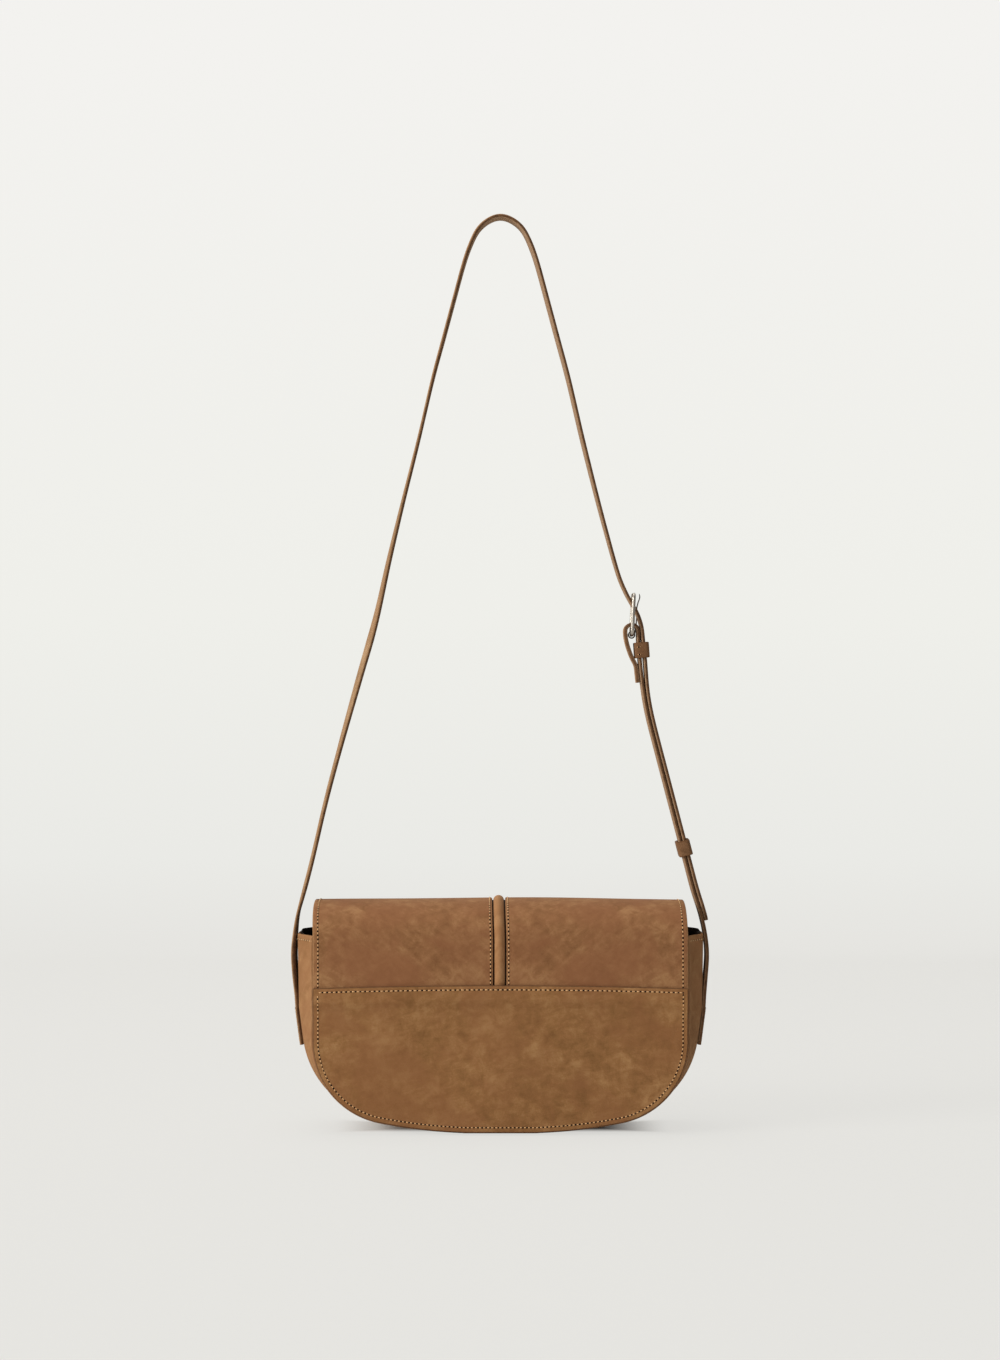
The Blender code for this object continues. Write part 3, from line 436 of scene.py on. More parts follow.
# Painted shade: the near-black of the channel's floor, the ridge's flanges and its edges stands in for the
# deep shade in the groove.
GROOVE_SHADE = plain_leather("groove_floor", colour(38, 23, 13), colour(52, 33, 20), 0.95)
THREAD = plain_leather("tan_thread", colour(190, 146, 98), colour(226, 182, 132), 0.55, 1800)
# Painted shade: the dark of the stitch holes, laid on the surface as small caps.
HOLE_SHADE = plain_leather("stitch_hole", colour(24, 13, 7), colour(34, 20, 11), 0.9)
CLOTH = woven("lining_twill", colour(22, 13, 8), colour(44, 29, 19))
NICKEL = metal("satin_nickel", colour(184, 176, 164), 0.36)
# Painted shade: a darker copy of the nickel for the prong and its eye, which sit in shade.
PRONG_SHADED_NICKEL = metal("prong_steel", colour(104, 96, 88), 0.35)
DARK_METAL = metal("magnet_plating", colour(90, 90, 92), 0.42)


def make_object(name, points, faces, materials, slots=None, flat=None, smooth=40):
    """A mesh from numpy points, with flat coordinates in metres and material slots."""
    mesh = bpy.data.meshes.new(name)
    mesh.from_pydata([tuple(p) for p in points], [], [tuple(int(i) for i in face) for face in faces])
    for made in materials:
        mesh.materials.append(made)
    if slots is not None:
        mesh.polygons.foreach_set("material_index", np.array(slots, np.int32))
    layer = mesh.uv_layers.new(name="flat")
    corner = np.zeros(len(mesh.loops), np.int32)
    mesh.loops.foreach_get("vertex_index", corner)
    if flat is None:
        spots = np.array(points)[:, [0, 2]]
    else:
        spots = np.array(flat)
    layer.data.foreach_set("uv", spots[corner].astype(np.float32).ravel())
    mesh.shade_smooth()
    mesh.set_sharp_from_angle(angle=math.radians(smooth))
    made = bpy.data.objects.new(name, mesh)
    bpy.context.scene.collection.objects.link(made)
    return made


def grid_normals(grid, side):
    along = np.gradient(grid, axis=0)
    across = np.gradient(grid, axis=1)
    normal = np.cross(across, along) * side
    length = np.linalg.norm(normal, axis=2, keepdims=True)
    return normal / np.maximum(length, 1e-12)


def sheet(name, grid, thickness, skin, side=1, edge=None, back=None, flat=None, plain=(), flat_shift=(0, 0)):
    """A bent sheet from its outer face, a grid of points by row and column, with rounded painted edges.

    side turns the outward way of the grid. plain names the row ends, start or end, where the sheet goes on
    in another piece and so has no rounded edge. flat_shift moves its flat coordinates.
    """
    rows, columns = grid.shape[:2]
    normal = grid_normals(grid, side)
    inner = grid - normal * thickness
    if flat is None:
        v = np.zeros((rows, columns))
        v[1:] = np.cumsum(np.linalg.norm(np.diff(grid, axis=0), axis=2), axis=0)
        u = np.zeros((rows, columns))
        u[:, 1:] = np.cumsum(np.linalg.norm(np.diff(grid, axis=1), axis=2), axis=1)
        flat = np.stack([u + grid[:, :1, 0] + flat_shift[0], v + flat_shift[1]], axis=2)
    points = [grid.reshape(-1, 3), inner.reshape(-1, 3)]
    spots = [flat.reshape(-1, 2), flat.reshape(-1, 2)]
    size = rows * columns
    faces, slots = [], []
    index = np.arange(size).reshape(rows, columns)
    quads = np.stack([index[:-1, :-1], index[:-1, 1:], index[1:, 1:], index[1:, :-1]], axis=2).reshape(-1, 4)
    outer_quads = quads if side > 0 else quads[:, ::-1]
    faces += outer_quads.tolist()
    slots += [0] * len(quads)
    faces += (outer_quads[:, ::-1] + size).tolist()
    slots += [2] * len(quads)
    rim = [(0, j) for j in range(columns)] + [(i, columns - 1) for i in range(1, rows)]
    rim += [(rows - 1, j) for j in range(columns - 2, -1, -1)] + [(i, 0) for i in range(rows - 2, 0, -1)]
    rim_places = np.array([grid[i, j] for i, j in rim])
    rim_ahead = np.roll(rim_places, -1, 0) - np.roll(rim_places, 1, 0)
    rim_normal = np.array([normal[i, j] for i, j in rim])
    rim_out = np.cross(rim_ahead, rim_normal)
    rim_out /= np.maximum(np.linalg.norm(rim_out, axis=1, keepdims=True), 1e-12)
    middle_j = columns // 2
    if np.dot(rim_out[middle_j], grid[0, middle_j] - grid[1, middle_j]) < 0:
        rim_out = -rim_out
    ring = []
    for (i, j), out in zip(rim, rim_out):
        cut_end = (i == 0 and "start" in plain) or (i == rows - 1 and "end" in plain)
        bulge = 0.0 if cut_end else EDGE_FULLNESS
        middle = (grid[i, j] + inner[i, j]) / 2
        half = thickness / 2
        row = []
        for k in range(1, EDGE_STEPS):
            turn = math.pi * k / EDGE_STEPS
            row.append(middle + normal[i, j] * half * math.cos(turn) + out * half * bulge * math.sin(turn))
        ring.append(row)
    ring = np.array(ring)
    start = 2 * size
    points.append(ring.reshape(-1, 3))
    rim_flat = np.array([flat[i, j] for i, j in rim])
    between = EDGE_STEPS - 1
    spots.append(np.repeat(rim_flat, between, axis=0))
    count = len(rim)
    levels = [[i * columns + j for i, j in rim]]
    levels += [[start + r * between + k for r in range(count)] for k in range(between)]
    levels.append([size + i * columns + j for i, j in rim])
    for near, far in zip(levels, levels[1:]):
        for r in range(count):
            q = (r + 1) % count
            face = [near[q], near[r], far[r], far[q]]
            faces.append(face if side > 0 else face[::-1])
            slots.append(1)
    return make_object(
        name, np.concatenate(points), faces, [skin, edge or EDGE, back or skin], slots, np.concatenate(spots)
    )


def unit(vector):
    length = np.linalg.norm(vector)
    return vector / length if length > 1e-12 else vector


def running_length(line):
    """How far along a line of points each of them is."""
    return np.concatenate([[0], np.cumsum(np.linalg.norm(np.diff(line, axis=0), axis=1))])


def even_steps(points, normals, pitch):
    """Places an even pitch apart along a line of points: (place, along, normal) for each."""
    points, normals = np.array(points, float), np.array(normals, float)
    length = running_length(points)
    total = length[-1]
    count = max(1, int(round(total / pitch)))

    def read(values, at):
        return np.array([np.interp(at, length, values[:, k]) for k in range(3)])

    found = []
    for i in range(count):
        at = total * (i + 0.5) / count
        ahead = read(points, at + NUDGE) - read(points, at - NUDGE)
        found.append((read(points, at), unit(ahead), unit(read(normals, at)), total / count))
    return found


def ring_at(points, centre, first, second, radius, sides):
    """Adds a ring of points round a centre."""
    for k in range(sides):
        turn = 2 * math.pi * k / sides
        points.append(centre + (first * math.cos(turn) + second * math.sin(turn)) * radius)


def ring_walls(rings, sides, closed=False, start=0):
    """The faces between rings of points in a row, and from the last to the first when closed."""
    walls = []
    for r in range(rings if closed else rings - 1):
        low, high = start + r * sides, start + (r + 1) % rings * sides
        for k in range(sides):
            q = (k + 1) % sides
            walls.append((low + k, low + q, high + q, high + k))
    return walls


def ring_caps(rings, sides, start=0):
    """The faces that close the first and the last ring."""
    return [tuple(start + ring * sides + k for k in range(sides)) for ring in (0, rings - 1)]


def stitch_mesh(name, lines, sink=0.0):
    """Stitches, sunk in by a depth, and between them the holes, small dark caps of painted shade, along lines
    of (points, normals, pitch).
    """
    points, faces, slots = [], [], []

    def close(start, rings, slot):
        added = ring_walls(rings, STITCH_SIDES, start=start) + ring_caps(rings, STITCH_SIDES, start)
        faces.extend(added)
        slots.extend([slot] * len(added))

    for line, normals, pitch in lines:
        for here, along, normal, step in even_steps(line, normals, pitch):
            across = unit(np.cross(normal, along))
            half = (step - HOLE_RADIUS * HOLE_LONG * HOLE_SHARE) / 2 * random.uniform(*STITCH_LENGTHS)
            way = unit(along + across * random.uniform(*STITCH_SLANTS))
            start = len(points)
            for share, lift, thick in THREAD_RINGS:
                centre = here + way * half * share + normal * (STITCH_RADIUS * lift - sink)
                ring_at(points, centre, across, normal, STITCH_RADIUS * thick, STITCH_SIDES)
            close(start, len(THREAD_RINGS), 0)
            start = len(points)
            size = HOLE_RADIUS * random.uniform(*HOLE_SIZES)
            for rise, wide in HOLE_RINGS:
                centre = here + along * step / 2 + normal * rise * MM
                ring_at(points, centre, across, along * HOLE_LONG, size * wide, STITCH_SIDES)
            close(start, len(HOLE_RINGS), 1)
    made = make_object(name, np.array(points), faces, [THREAD, HOLE_SHADE], slots)
    fix_normals(made)
    return made


def fix_normals(piece):
    """Turns every closed body's faces outward."""
    shape = bmesh.new()
    shape.from_mesh(piece.data)
    bmesh.ops.recalc_face_normals(shape, faces=shape.faces)
    shape.to_mesh(piece.data)
    shape.free()


def dress(piece, slot, *nodes):
    """Hides the frame's nodes that the piece stands for. Its slot is not used."""
    if nodes:
        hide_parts(*nodes)
    return piece


def seat(piece, body, slot, *nodes):
    """Attaches a piece to one body and hides the nodes that it stands for; its slot is not used."""
    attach(piece, body)
    return dress(piece, slot, *nodes)


def outline(inset):
    """The right half of the half moon from its side to the middle of its foot, as (x, z) rows."""
    reach = BODY_HALF - CORNER_R
    lean = math.asin((reach - FOOT_HALF) / (BOTTOM_R - CORNER_R))
    corner_z = BOTTOM_R - (BOTTOM_R - CORNER_R) * math.cos(lean)
    found = []

    def ease(share):
        return CORNER_EASE * math.sin(math.pi * share) ** EASE_POWER

    for i in range(CORNER_STEPS + 1):
        turn = (math.pi / 2 - lean) * i / CORNER_STEPS
        radius = CORNER_R - inset - ease(0.5 * i / CORNER_STEPS)
        found.append((reach + radius * math.cos(turn), corner_z - radius * math.sin(turn)))
    for i in range(1, LOW_STEPS + 1):
        turn = lean * (1 - i / LOW_STEPS)
        # A little under a half, so that the sine at the foot never falls below 0.
        radius = BOTTOM_R - inset - ease(0.5 + 0.4999 * i / LOW_STEPS)
        found.append((FOOT_HALF + radius * math.sin(turn), BOTTOM_R - radius * math.cos(turn)))
    for i in range(1, FOOT_STEPS + 1):
        found.append((FOOT_HALF * (1 - i / FOOT_STEPS), inset))
    return np.array(found)


CORNER_Z = outline(0)[0][1]


def seam_z(x):
    """The lower panel's top edge, a little higher in the middle."""
    return SEAM_MID_Z - SEAM_CROWN * (x / FLAP_HALF) ** 2


def fade(value, low, high):
    """0 below low, 1 above high and smooth between them."""
    t = np.clip((np.asarray(value, float) - low) / (high - low), 0, 1)
    return t * t * (3 - 2 * t)


def waves(x, z):
    """The soft unevenness of a hanging sheet of leather, in metres outward."""
    soft = 0.30 * np.sin(31 * x + 1.1) * np.sin(47 * z + 0.4) + 0.22 * np.sin(63 * x - 38 * z + 2.0)
    fine = 0.10 * np.sin(118 * x + 71 * z + 0.5) * np.sin(94 * z - 52 * x)
    over_snap = 0.75 * np.exp(-((x / 0.030) ** 2 + ((z - 0.048) / 0.026) ** 2))
    return (soft + fine + over_snap) * MM


ARCH_HALF = (BACK_Y - FRONT_Y) / 2
ARCH_MID = (BACK_Y + FRONT_Y) / 2
ARCH_RISE = CREST_Z - MOUTH_Z


def flap_path():
    """The flap's side view from the back seam over the arch to below the front seam: y, z, out y, out z."""
    rows = [(BACK_Y, z, 1, 0) for z in np.linspace(BACK_SEAM_Z, MOUTH_Z, BACK_STEPS + 1)]
    for turn in np.linspace(math.pi, 0, ARCH_STEPS + 1)[1:]:
        across, up = (math.copysign(abs(f(turn)) ** ARCH_FULLNESS, f(turn)) for f in (math.cos, math.sin))
        out = unit(np.array([-across / ARCH_HALF, up / ARCH_RISE]))
        rows.append((ARCH_MID - ARCH_HALF * across, MOUTH_Z + ARCH_RISE * up, *out))
    rows += [(FRONT_Y, z, -1, 0) for z in np.linspace(MOUTH_Z, 0, FRONT_STEPS + 1)[1:]]
    rows = np.array(rows)
    return rows, running_length(rows[:, :2])


PATH, PATH_LENGTH = flap_path()
BACK_CREASE = PATH_LENGTH[BACK_STEPS]
CREST = PATH_LENGTH[BACK_STEPS + ARCH_STEPS // 2]
FRONT_CREASE = PATH_LENGTH[BACK_STEPS + ARCH_STEPS]


def down_to(z):
    """How far along the flap's path a height on its hanging front is."""
    return FRONT_CREASE + (MOUTH_Z - z)


def flap_point(x, d, depth=0.0):
    """A point of the flap at x across and d along, some depth under its outer face."""
    x, d = np.broadcast_arrays(np.asarray(x, float), np.asarray(d, float))
    y, z, out_y, out_z = (np.interp(d, PATH_LENGTH, PATH[:, k]) for k in range(4))
    length = np.hypot(out_y, out_z)
    out_y, out_z = out_y / length, out_z / length
    arch = np.clip((z - MOUTH_Z) / ARCH_RISE, 0, 1)
    droop = END_DROOP * np.abs(x / FLAP_HALF) ** DROOP_POWER * arch
    hang = fade(MOUTH_Z - z, HANG_START, HANG_FULL) * (y < ARCH_MID)
    proud = waves(x, z) * hang + TOP_WAVE * np.sin(44 * x + 0.7) * arch - depth
    return np.stack([x + FLAP_LEAN * arch, y + out_y * proud, z + out_z * proud - droop], axis=-1)


def lower_point(x, z, depth=0.0):
    """A point of the lower panel, which steps over the upper panels' ends at its top."""
    x, z = np.broadcast_arrays(np.asarray(x, float), np.asarray(z, float))
    under = seam_z(x) - z
    step = (LEATHER + GAP) * (1 - fade(under, STEP_START, STEP_END))
    edge_roll = EDGE_ROLL * np.exp(-under / ROLL_REACH)
    swell = SWELL * np.exp(-(((under - SWELL_PLACE) / SWELL_REACH) ** 2))
    place = flap_point(x, down_to(z), depth)
    place[..., 1] -= step + swell - edge_roll
    return place


def surface(function, a, b):
    """Points and unit normals of a surface function along lines a, b."""
    place = function(a, b)
    du = function(a + NUDGE, b) - function(a - NUDGE, b)
    dv = function(a, b + NUDGE) - function(a, b - NUDGE)
    normal = np.cross(du, dv)
    normal /= np.maximum(np.linalg.norm(normal, axis=-1, keepdims=True), 1e-12)
    return place, normal


def outward_line(function, a, b, toward):
    """The same, with the normals on the side that toward points to."""
    place, normal = surface(function, np.asarray(a, float), np.asarray(b, float))
    turned = np.sign((normal * np.asarray(toward(place), float)).sum(axis=1, keepdims=True))
    turned[turned == 0] = 1
    return place, normal * turned


def from_arch(place):
    """Which way is out of the flap at a place."""
    way = place - np.array([0, ARCH_MID, MOUTH_Z - 0.02])
    way[:, 0] = 0
    return way


def make_upper_panels():
    for side, word in ((-1, "left"), (1, "right")):
        xs = np.linspace(RIDGE_X + side * (CHANNEL_HALF + EDGE_BULGE), side * FLAP_HALF, 60)
        hand = -side
        leather = (LEATHER, UPPER, hand, CUT_EDGE)
        grid = flap_point(xs[None, :], np.linspace(0, CREST, 60)[:, None])
        back = sheet(f"upper_{word}_back", grid, *leather, plain={"end"})
        ends = down_to(seam_z(xs) - SEAM_OVERLAP)[None, :]
        grid = flap_point(xs[None, :], CREST + (ends - CREST) * np.linspace(0, 1, 90)[:, None])
        front = sheet(f"upper_{word}_front", grid, *leather, plain={"start"}, flat_shift=(0, CREST))
        bend_back(back)
        bend_front(front)
        dress(back, "upper_leather", f"flap_back_{word}")
        dress(front, "upper_leather", f"flap_top_{word}", f"flap_front_{word}")


def bend_back(piece):
    """Bakes the piece's transform into its mesh."""
    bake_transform(piece)


def bend_front(piece):
    """Bakes the piece's transform into its mesh."""
    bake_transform(piece)


def half_moon_columns(inset):
    """The half moon's lower edge from its left side to its right one, as (x, z) rows."""
    right = outline(inset)
    return np.concatenate([right * (-1, 1), right[::-1][1:]])


def make_lower_panel():
    columns = half_moon_columns(FLAP_INSET)
    share = np.linspace(0, 1, 70)
    tops = seam_z(columns[:, 0])
    zs = tops[None, :] + (columns[:, 1] - tops)[None, :] * share[:, None]
    grid = lower_point(columns[:, 0][None, :], zs)
    flat = np.stack([grid[..., 0], grid[..., 2]], axis=2)
    panel = sheet("lower_panel", grid, LEATHER, LOWER, -1, flat=flat)
    seat(panel, "flap_front", "lower_leather", "flap_lower_panel")


def make_ridge():
    """The rolled ridge and its flanges, in its two halves; the flanges and the ridge's edges are painted
    near-black as the shade on the channel's floor.
    """
    turns = np.linspace(math.pi, 0, 17)
    height = LEATHER + RIDGE_PROUD
    flange = CHANNEL_HALF + RIDGE_FLANGE
    xs = np.concatenate([[-flange], RIDGE_HALF * np.cos(turns), [flange]])
    rise = np.concatenate([[0.0], np.maximum(RIDGE_LEAST, height * np.sin(turns)), [0.0]])
    end = down_to(SEAM_MID_Z - RIDGE_END)
    for word, rows in (("back", np.linspace(0, CREST, 70)), ("front", np.linspace(CREST, end, 90))):
        across = (RIDGE_X + xs)[None, :]
        grid = flap_point(across, rows[:, None], LEATHER)
        out = (flap_point(across, rows[:, None], LEATHER - MM) - grid) / MM
        squeeze = 1 + 0.03 * np.sin(rows / MM * 0.5 + 1)[:, None] + 0.02 * np.sin(rows / MM * 0.21)[:, None]
        if word == "front":
            tuck = fade(rows, down_to(SEAM_MID_Z + TUCK_START), down_to(SEAM_MID_Z + TUCK_FULL))[:, None]
            squeeze = squeeze * (1 - TUCK_SHARE * tuck)
        grid = grid + out * (rise[None, :] * squeeze)[..., None]
        plain, shift = {"start", "end"}, (0, rows[0])
        ridge = sheet(f"ridge_{word}", grid, RIDGE_SKIN, ROLL_LIT_SKIN, -1, GROOVE_SHADE, plain=plain, flat_shift=shift)
        shade_strips(ridge, len(xs), {0, 1, len(xs) - 3, len(xs) - 2})
        if word == "back":
            bend_back(ridge)
            dress(ridge, "upper_leather", "roll_back")
        else:
            bend_front(ridge)
            dress(ridge, "upper_leather", "roll_top", "roll_front")


def shade_strips(piece, columns, strips):
    """Gives some lengthwise strips of a sheet's outer face its second slot; on the ridge that is the groove's
    painted shade.
    """
    for face in piece.data.polygons:
        if face.material_index == 0 and face.index % (columns - 1) in strips:
            face.material_index = 1


def make_flap_linings():
    depth = LEATHER + GAP
    half = FLAP_HALF - FLAP_LINING_INSET
    xs = np.linspace(-half, half, 70)
    rows = np.linspace(BACK_CREASE + FLAP_LINING_START, CREST, 30)
    grid = flap_point(xs[None, :], rows[:, None], depth)
    top = sheet("flap_lining_back", grid, LINING, CLOTH, -1, edge=CLOTH, plain={"end"})
    seat(top, "flap_top", "lining", "flap_top_lining")
    columns = half_moon_columns(FLAP_INSET + FLAP_LINING_INSET)
    ends = down_to(columns[:, 1])[None, :]
    share = np.linspace(0, 1, 100)[:, None]
    grid = flap_point(columns[:, 0][None, :], CREST + (ends - CREST) * share, depth)
    front = sheet("flap_lining_front", grid, LINING, CLOTH, -1, edge=CLOTH, plain={"start"})
    bend_front(front)
    dress(front, "lining", "flap_front_lining")


def panel_face(x, z, outer_y, way):
    """The body's flat panels, a little soft between their seams."""
    x, z = np.broadcast_arrays(np.asarray(x, float), np.asarray(z, float))
    soft = PANEL_SOFTNESS * np.sin(26 * x + 0.3) * np.sin(30 * z)
    return np.stack([x, outer_y + way * soft, z], axis=-1)


def make_panels():
    columns = half_moon_columns(0)
    share = np.linspace(0, 1, 50)[:, None]
    top = MOUTH_Z - GAP
    zs = top + (columns[:, 1] - top)[None, :] * share
    for word, outer_y, way in (("front", PANEL_FRONT_Y, -1), ("back", PANEL_BACK_Y, 1)):
        grid = panel_face(columns[:, 0][None, :], zs, outer_y, way)
        panel = sheet(f"body_{word}", grid, PANEL, SIDE, way, edge=SIDE, back=RAW)
        seat(panel, "bag", "side_leather", f"{word}_panel")
    columns = half_moon_columns(PANEL_LINING_INSET)
    for word, way in (("front", -1), ("back", 1)):
        rim = top + (LINING_STAND if way > 0 else 0)
        zs = rim + (columns[:, 1] - rim)[None, :] * share
        low, high = node_box[f"{word}_lining"]
        outer_y = low.y if way < 0 else high.y
        grid = panel_face(columns[:, 0][None, :], zs, outer_y, way)
        lining = sheet(f"panel_lining_{word}", grid, LINING, CLOTH, way, edge=CLOTH)
        seat(lining, "bag", "lining", f"{word}_lining")


def gusset_line():
    """Stations along the gusset from mouth to mouth: x, z, out x, out z, bulge, running length."""
    right = []
    for z in np.linspace(MOUTH_Z, TAB_TOP_Z, 14)[:-1]:
        share = (z - TAB_TOP_Z) / (MOUTH_Z - TAB_TOP_Z)
        right.append((BODY_HALF, z, 1, 0, BULGE_TAB + share * (BULGE_MOUTH - BULGE_TAB)))
    for z in np.linspace(TAB_TOP_Z, CORNER_Z, 10)[:-1]:
        share = (z - CORNER_Z) / (TAB_TOP_Z - CORNER_Z)
        right.append((BODY_HALF, z, 1, 0, BULGE_CORNER + share * (BULGE_TAB - BULGE_CORNER)))
    edge = outline(0)
    ahead = np.gradient(edge, axis=0)
    for i, ((x, z), (dx, dz)) in enumerate(zip(edge, ahead)):
        out = unit(np.array([-dz, dx]))
        fall = max(0.0, 1 - i / BELLY_STATIONS)
        right.append((x, z, out[0] if i else 1.0, out[1] if i else 0.0, BULGE_CORNER * fall))
    right = np.array(right)
    left = right[::-1][1:] * (-1, 1, -1, 1, 1)
    return np.concatenate([right, left])


STATIONS = gusset_line()
STATION_AT = running_length(STATIONS[:, :2])


def gusset_point(y, s, depth=0.0):
    """A point on the gusset at y across and s along it from the right mouth, under its face by a depth."""
    y, s = np.broadcast_arrays(np.asarray(y, float), np.asarray(s, float))
    x, z, out_x, out_z, bulge = (np.interp(s, STATION_AT, STATIONS[:, k]) for k in range(5))
    length = np.hypot(out_x, out_z)
    out_x, out_z = out_x / length, out_z / length
    belly = 1 - fade(np.abs(y), FLAT_HALF, GUSSET_HALF_DEPTH)
    straight = 1 - np.clip((np.abs(y) - FLAT_HALF) / (GUSSET_HALF_DEPTH - FLAT_HALF), 0, 1)
    rise = bulge * (BELLY_ROUND * belly + BELLY_STRAIGHT * straight)
    creep = CREEP * np.sin(52 * s + 1) * np.sin(70 * y + 0.8)
    creep = creep * np.clip((np.abs(y) - FLAT_HALF) / CREEP_START, 0, 1)
    creep = creep * np.clip((GUSSET_HALF_DEPTH - np.abs(y)) / CREEP_END, 0, 1)
    rise = rise + creep - depth
    return np.stack([x + out_x * rise, MID_Y + y, z + out_z * rise], axis=-1)


def make_gusset():
    ys = np.linspace(-GUSSET_HALF_DEPTH, GUSSET_HALF_DEPTH, 41)
    grid = gusset_point(ys[None, :], STATION_AT[:, None])
    gusset = sheet("gusset_belly", grid, LEATHER, SIDE, -1, edge=SIDE, back=RAW)
    seat(gusset, "bag", "side_leather", "gusset")
    half = GUSSET_HALF_DEPTH - GUSSET_LINING_INSET
    ys = np.linspace(-half, half, 31)
    grid = gusset_point(ys[None, :], STATION_AT[:, None], LEATHER + GAP)
    stand = LINING_STAND * fade(ys, STAND_START, STAND_FULL)
    for i, share in enumerate(STAND_SHARES):
        grid[i, :, 2] += stand * share
        grid[-1 - i, :, 2] += stand * share
    lining = sheet("gusset_cloth", grid, LINING, CLOTH, -1, edge=CLOTH)
    seat(lining, "bag", "lining", "gusset_lining")


def make_pocket():
    """The slip pocket on the back lining: a patch that stands off a little at its open top."""
    low, high = node_box["slip_pocket"]
    xs = np.linspace(low.x, high.x, 41)
    zs = np.linspace(high.z, low.z, 31)
    across = np.clip(1 - np.abs(xs / high.x) ** 6, 0, 1)
    up = fade(zs, low.z, low.z + POCKET_SEWN)
    stand = (high.y - low.y - LINING) * across[None, :] * up[:, None]
    y = high.y - LINING - stand
    grid = np.stack([xs[None, :] + 0 * y, y, zs[:, None] + 0 * y], axis=2)
    patch = sheet("pocket_patch", grid, LINING, CLOTH, -1, edge=CLOTH)
    seat(patch, "bag", "lining", "slip_pocket")
    hem = grid[:5].copy()
    hem[..., 1] -= HEM_RISE
    fold = sheet("pocket_hem", hem, HEM_THICKNESS, CLOTH, -1, edge=CLOTH)
    seat(fold, "bag", "lining")


def lathe(name, centre, profile, skin, steps=64):
    """A turned part about a line along y: profile of (radius, offset along y)."""
    points = []
    for radius, along in profile:
        for k in range(steps):
            turn = 2 * math.pi * k / steps
            across, up = radius * math.cos(turn), radius * math.sin(turn)
            points.append((centre[0] + across, centre[1] + along, centre[2] + up))
    faces = ring_walls(len(profile), steps, closed=True)
    made = make_object(name, np.array(points), faces, [skin], smooth=30)
    fix_normals(made)
    return made


def rounded(profile, radius):
    """The profile with each corner cut to two close points, so that its edges catch the light."""
    found = []
    for i, here in enumerate(profile):
        here = np.array(here)
        before, after = np.array(profile[i - 1]), np.array(profile[(i + 1) % len(profile)])
        for other in (before, after):
            length = np.linalg.norm(other - here)
            step = min(radius, length * 0.4)
            found.append(tuple(here + (other - here) / length * step))
    return found


def make_snap():
    """The snap's turned pieces: the case, its ring magnet, the washer behind and the stud on the flap."""
    box = node_box["snap_case"]
    height = (box[0].z + box[1].z) / 2

    def turned(name, body, skin, slot, shape, softness, from_high=False):
        low, high = node_box[name]
        profile = rounded(shape((high.x - low.x) / 2, high.y - low.y), softness)
        back = high.y if from_high else low.y
        seat(lathe(f"{name}_turned", (0, back, height), profile, skin), body, slot, name)

    def case(outer, depth):
        inside, floor = outer - CASE_WALL, -CASE_WALL
        wall = [(outer, 0), (outer, -depth), (inside, -depth), (inside, floor)]
        return [(SNAP_AXIS, 0), *wall, (SNAP_AXIS, floor)]

    def ring(bore):
        return lambda outer, depth: [(bore, 0), (outer, 0), (outer, depth), (bore, depth)]

    def stud(outer, depth):
        stem = [(STUD_RADIUS, STUD_FACE), (STUD_RADIUS, depth), (SNAP_AXIS, depth)]
        return [(SNAP_AXIS, 0), (outer, 0), (outer, STUD_FACE), *stem]

    turned("snap_case", "bag", NICKEL, "nickel", case, CASE_SOFTNESS, from_high=True)
    turned("snap_magnet", "bag", DARK_METAL, "magnet", ring(MAGNET_BORE), RING_SOFTNESS)
    turned("snap_washer", "bag", NICKEL, "nickel", ring(WASHER_BORE), RING_SOFTNESS)
    turned("snap_stud", "flap_front", NICKEL, "nickel", stud, STUD_SOFTNESS)


# Strap routes: the part's own shares of the half span and of the rise over the sewn ends.
UPPER_LEG = (
    (0.096, 0.9870), (0.135, 0.9692), (0.172, 0.9433), (0.225, 0.8920), (0.277, 0.8406),
    (0.329, 0.7893), (0.397, 0.7121), (0.470, 0.6350),
)
LEFT_LEG = (
    (0.540, 0.5578), (0.605, 0.4806), (0.687, 0.4034), (0.768, 0.3263), (0.845, 0.2491),
    (0.913, 0.1720), (0.957, 0.1270), (0.985, 0.0985),
)
RIGHT_LEG = ((0.522, 0.5835), (0.549, 0.5578), (0.578, 0.5321))
SHORT_TOP = ((0.717, 0.3520), (0.697, 0.3778), (0.684, 0.4034), (0.674, 0.4290))
SHORT_FOOT = ((0.9875, 0.0821), (0.9640, 0.1077))
RUN_LOW, RUN_HIGH = (0.9342, 0.1313), (0.7438, 0.3242)
THREADED = ((-0.238, 1.120), (-0.106, 0.870), (0.078, 0.620), (0.182, 0.385), (0.246, 0.220))
PRONG = (
    (0.070, 0.020), (0.096, 0.220), (0.106, 0.450), (0.098, 0.660), (0.122, 0.800), (0.160, 0.940),
    (0.142, 1.035),
)
RETURN = ((-1.000, -0.10), (-0.830, -1.00), (-0.530, -2.10), (-0.120, -3.20), (0.300, -4.20))
RETURN_END = 8.0
STRAP_SIDE = BODY_HALF + BULGE_MOUTH + GAP + STRAP_T / 2 + STRAP_STANDOFF
STRAP_CREST = STRAP_TOP_Z - STRAP_T / 2


def span(shares, side=1):
    return np.array([side * shares[0] * STRAP_SIDE, STRAP_AXIS_Z + shares[1] * (STRAP_CREST - STRAP_AXIS_Z)])


def by_buckle(shares):
    out, along = shares[0] * BUCKLE_LONG, shares[1] * BUCKLE_LONG
    return np.array([
        HEEL.x + out * math.cos(BUCKLE_TILT) + along * math.sin(BUCKLE_TILT),
        HEEL.z - out * math.sin(BUCKLE_TILT) + along * math.cos(BUCKLE_TILT),
    ])


